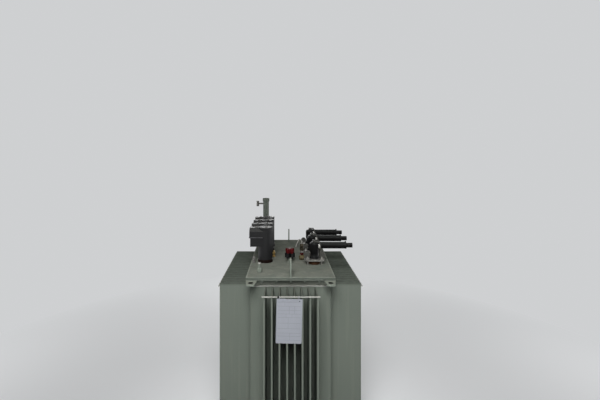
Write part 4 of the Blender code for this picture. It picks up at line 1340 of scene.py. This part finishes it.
def make_drain_plug():
    drain = middle("drain_valve")
    end_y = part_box("drain_valve")[1][1]
    shape = bmesh.new()
    add_hexagon(shape, standing((drain.x, end_y, drain.z), (0, 1, 0)), DRAIN_PLUG_WIDTH, 0,
                DRAIN_PLUG_LENGTH)
    new_piece("drain_plug", shape, "old_brass", bevel=0.0005)
    shape = bmesh.new()
    for k in range(4):
        angle = math.pi / 4 + k * math.pi / 2
        spot = (drain.x + GLAND_CIRCLE * math.cos(angle), end_y,
                drain.z + GLAND_CIRCLE * math.sin(angle))
        screw = standing(spot, (0, 1, 0))
        add_cylinder(shape, screw, GLAND_SCREW_RADIUS, 0, GLAND_SCREW_HEAD, STUD_SIDES)
    new_piece("gland_screws", shape, "pale_zinc", bevel=0.0003)


make_drain_plug()

# %% [markdown]
# ## The background
# A product photograph has a plain pale background. Making it bright with more light would wash
# out the transformer, so the world has two faces: rays that see the background itself, from the
# camera or in gloss, get its pale colour, and all others get a faint fill light.

# %% World
BACKGROUND = (0.62, 0.63, 0.64)
WORLD_TINT = (0.96, 0.98, 1.0)
WORLD_LIGHT = 0.035


def make_world():
    world = bpy.data.worlds.new("studio")
    bpy.context.scene.world = world
    world.use_nodes = True
    tree = world.node_tree
    lit = tree.nodes["Background"]
    lit.inputs["Color"].default_value = (*WORLD_TINT, 1)
    lit.inputs["Strength"].default_value = WORLD_LIGHT
    seen = tree.nodes.new("ShaderNodeBackground")
    seen.inputs["Color"].default_value = (*BACKGROUND, 1)
    path = tree.nodes.new("ShaderNodeLightPath")
    share = path.outputs["Is Camera Ray"]
    for kind in ("Is Glossy Ray", "Is Transmission Ray"):
        total = tree.nodes.new("ShaderNodeMath")
        total.use_clamp = True
        tree.links.new(share, total.inputs[0])
        tree.links.new(path.outputs[kind], total.inputs[1])
        share = total.outputs[0]
    choice = tree.nodes.new("ShaderNodeMixShader")
    tree.links.new(share, choice.inputs[0])
    tree.links.new(lit.outputs[0], choice.inputs[1])
    tree.links.new(seen.outputs[0], choice.inputs[2])
    tree.links.new(choice.outputs[0], tree.nodes["World Output"].inputs["Surface"])
    print("world with", len(tree.nodes), "nodes")


make_world()

# %% [markdown]
# ## Lamps
# Large soft lamps keep the shadows gentle. The key lamp hangs above the camera and a little to
# its left, and lights the front of the cover more than its far end. A low lamp in front, at the
# right, reaches in between the fins. A lamp on each side lights the long walls, and one behind
# draws the outline. Their power is set so that a colour renders about as it is written.

# %% Lamps
LAMPS = (
    ("key", (-0.22, -2.9, 2.95), (0, -0.7, 0.7), 2.0, 18.5, 60),
    ("front_fill", (1.4, -5.0, 0.6), (0, -0.5, 0.9), 2.6, 20, 180),
    ("right_side", (3.4, 0.2, 1.3), (0, 0, 0.7), 2.2, 36, 180),
    ("left_side", (-3.4, 0.2, 1.3), (0, 0, 0.7), 2.2, 32, 180),
    ("back", (-0.4, 4.2, 1.5), (0, 0, 0.7), 2.6, 90, 180),
)


def make_lamp(name, place, aim, size, power, spread):
    """A round lamp of a size in metres and a power in watts; spread is its beam in degrees."""
    data = bpy.data.lights.new(name, "AREA")
    data.shape = "DISK"
    data.size = size
    data.energy = power
    data.spread = math.radians(spread)
    lamp = bpy.data.objects.new(name, data)
    bpy.context.scene.collection.objects.link(lamp)
    lamp.location = place
    lamp.rotation_euler = (Vector(aim) - Vector(place)).to_track_quat("-Z", "Y").to_euler()


for settings in LAMPS:
    make_lamp(*settings)
print(len(LAMPS), "lamps, together", sum(settings[4] for settings in LAMPS), "W")

# %% [markdown]
# ## The floor
# The transformer stands on pale paper. Near the tank the paper takes its shadow, and further out
# it fades into the background's own colour, so that no horizon line shows. It is part of the
# studio and not of the transformer.

# %% Floor
FLOOR_COLOUR = (0.80, 0.81, 0.82)
FLOOR_FADE = (1.2, 3.2)
FLOOR_RADIUS = 40
FLOOR_SIDES = 64


def make_floor():
    shape = bmesh.new()
    bmesh.ops.create_circle(shape, cap_ends=True, segments=FLOOR_SIDES, radius=FLOOR_RADIUS)
    data = bpy.data.meshes.new("floor")
    shape.to_mesh(data)
    shape.free()
    floor = bpy.data.objects.new("floor", data)
    bpy.context.scene.collection.objects.link(floor)
    paper = Finish("floor_paper", FLOOR_COLOUR, 0.9, gloss=0.0)
    distance = paper.add("ShaderNodeVectorMath", {0: paper.place}, operation="LENGTH")
    fade = paper.between(distance.outputs["Value"], *FLOOR_FADE)
    glow = paper.add("ShaderNodeEmission", {"Color": (*BACKGROUND, 1)})
    mix = paper.add("ShaderNodeMixShader", {0: fade, 1: paper.shader.outputs[0],
                                            2: glow.outputs[0]})
    paper.tree.links.new(mix.outputs[0], paper.tree.nodes["Material Output"].inputs["Surface"])
    data.materials.append(paper.material)


make_floor()
bpy.context.scene.view_settings.view_transform = "Standard"
print("studio ready")
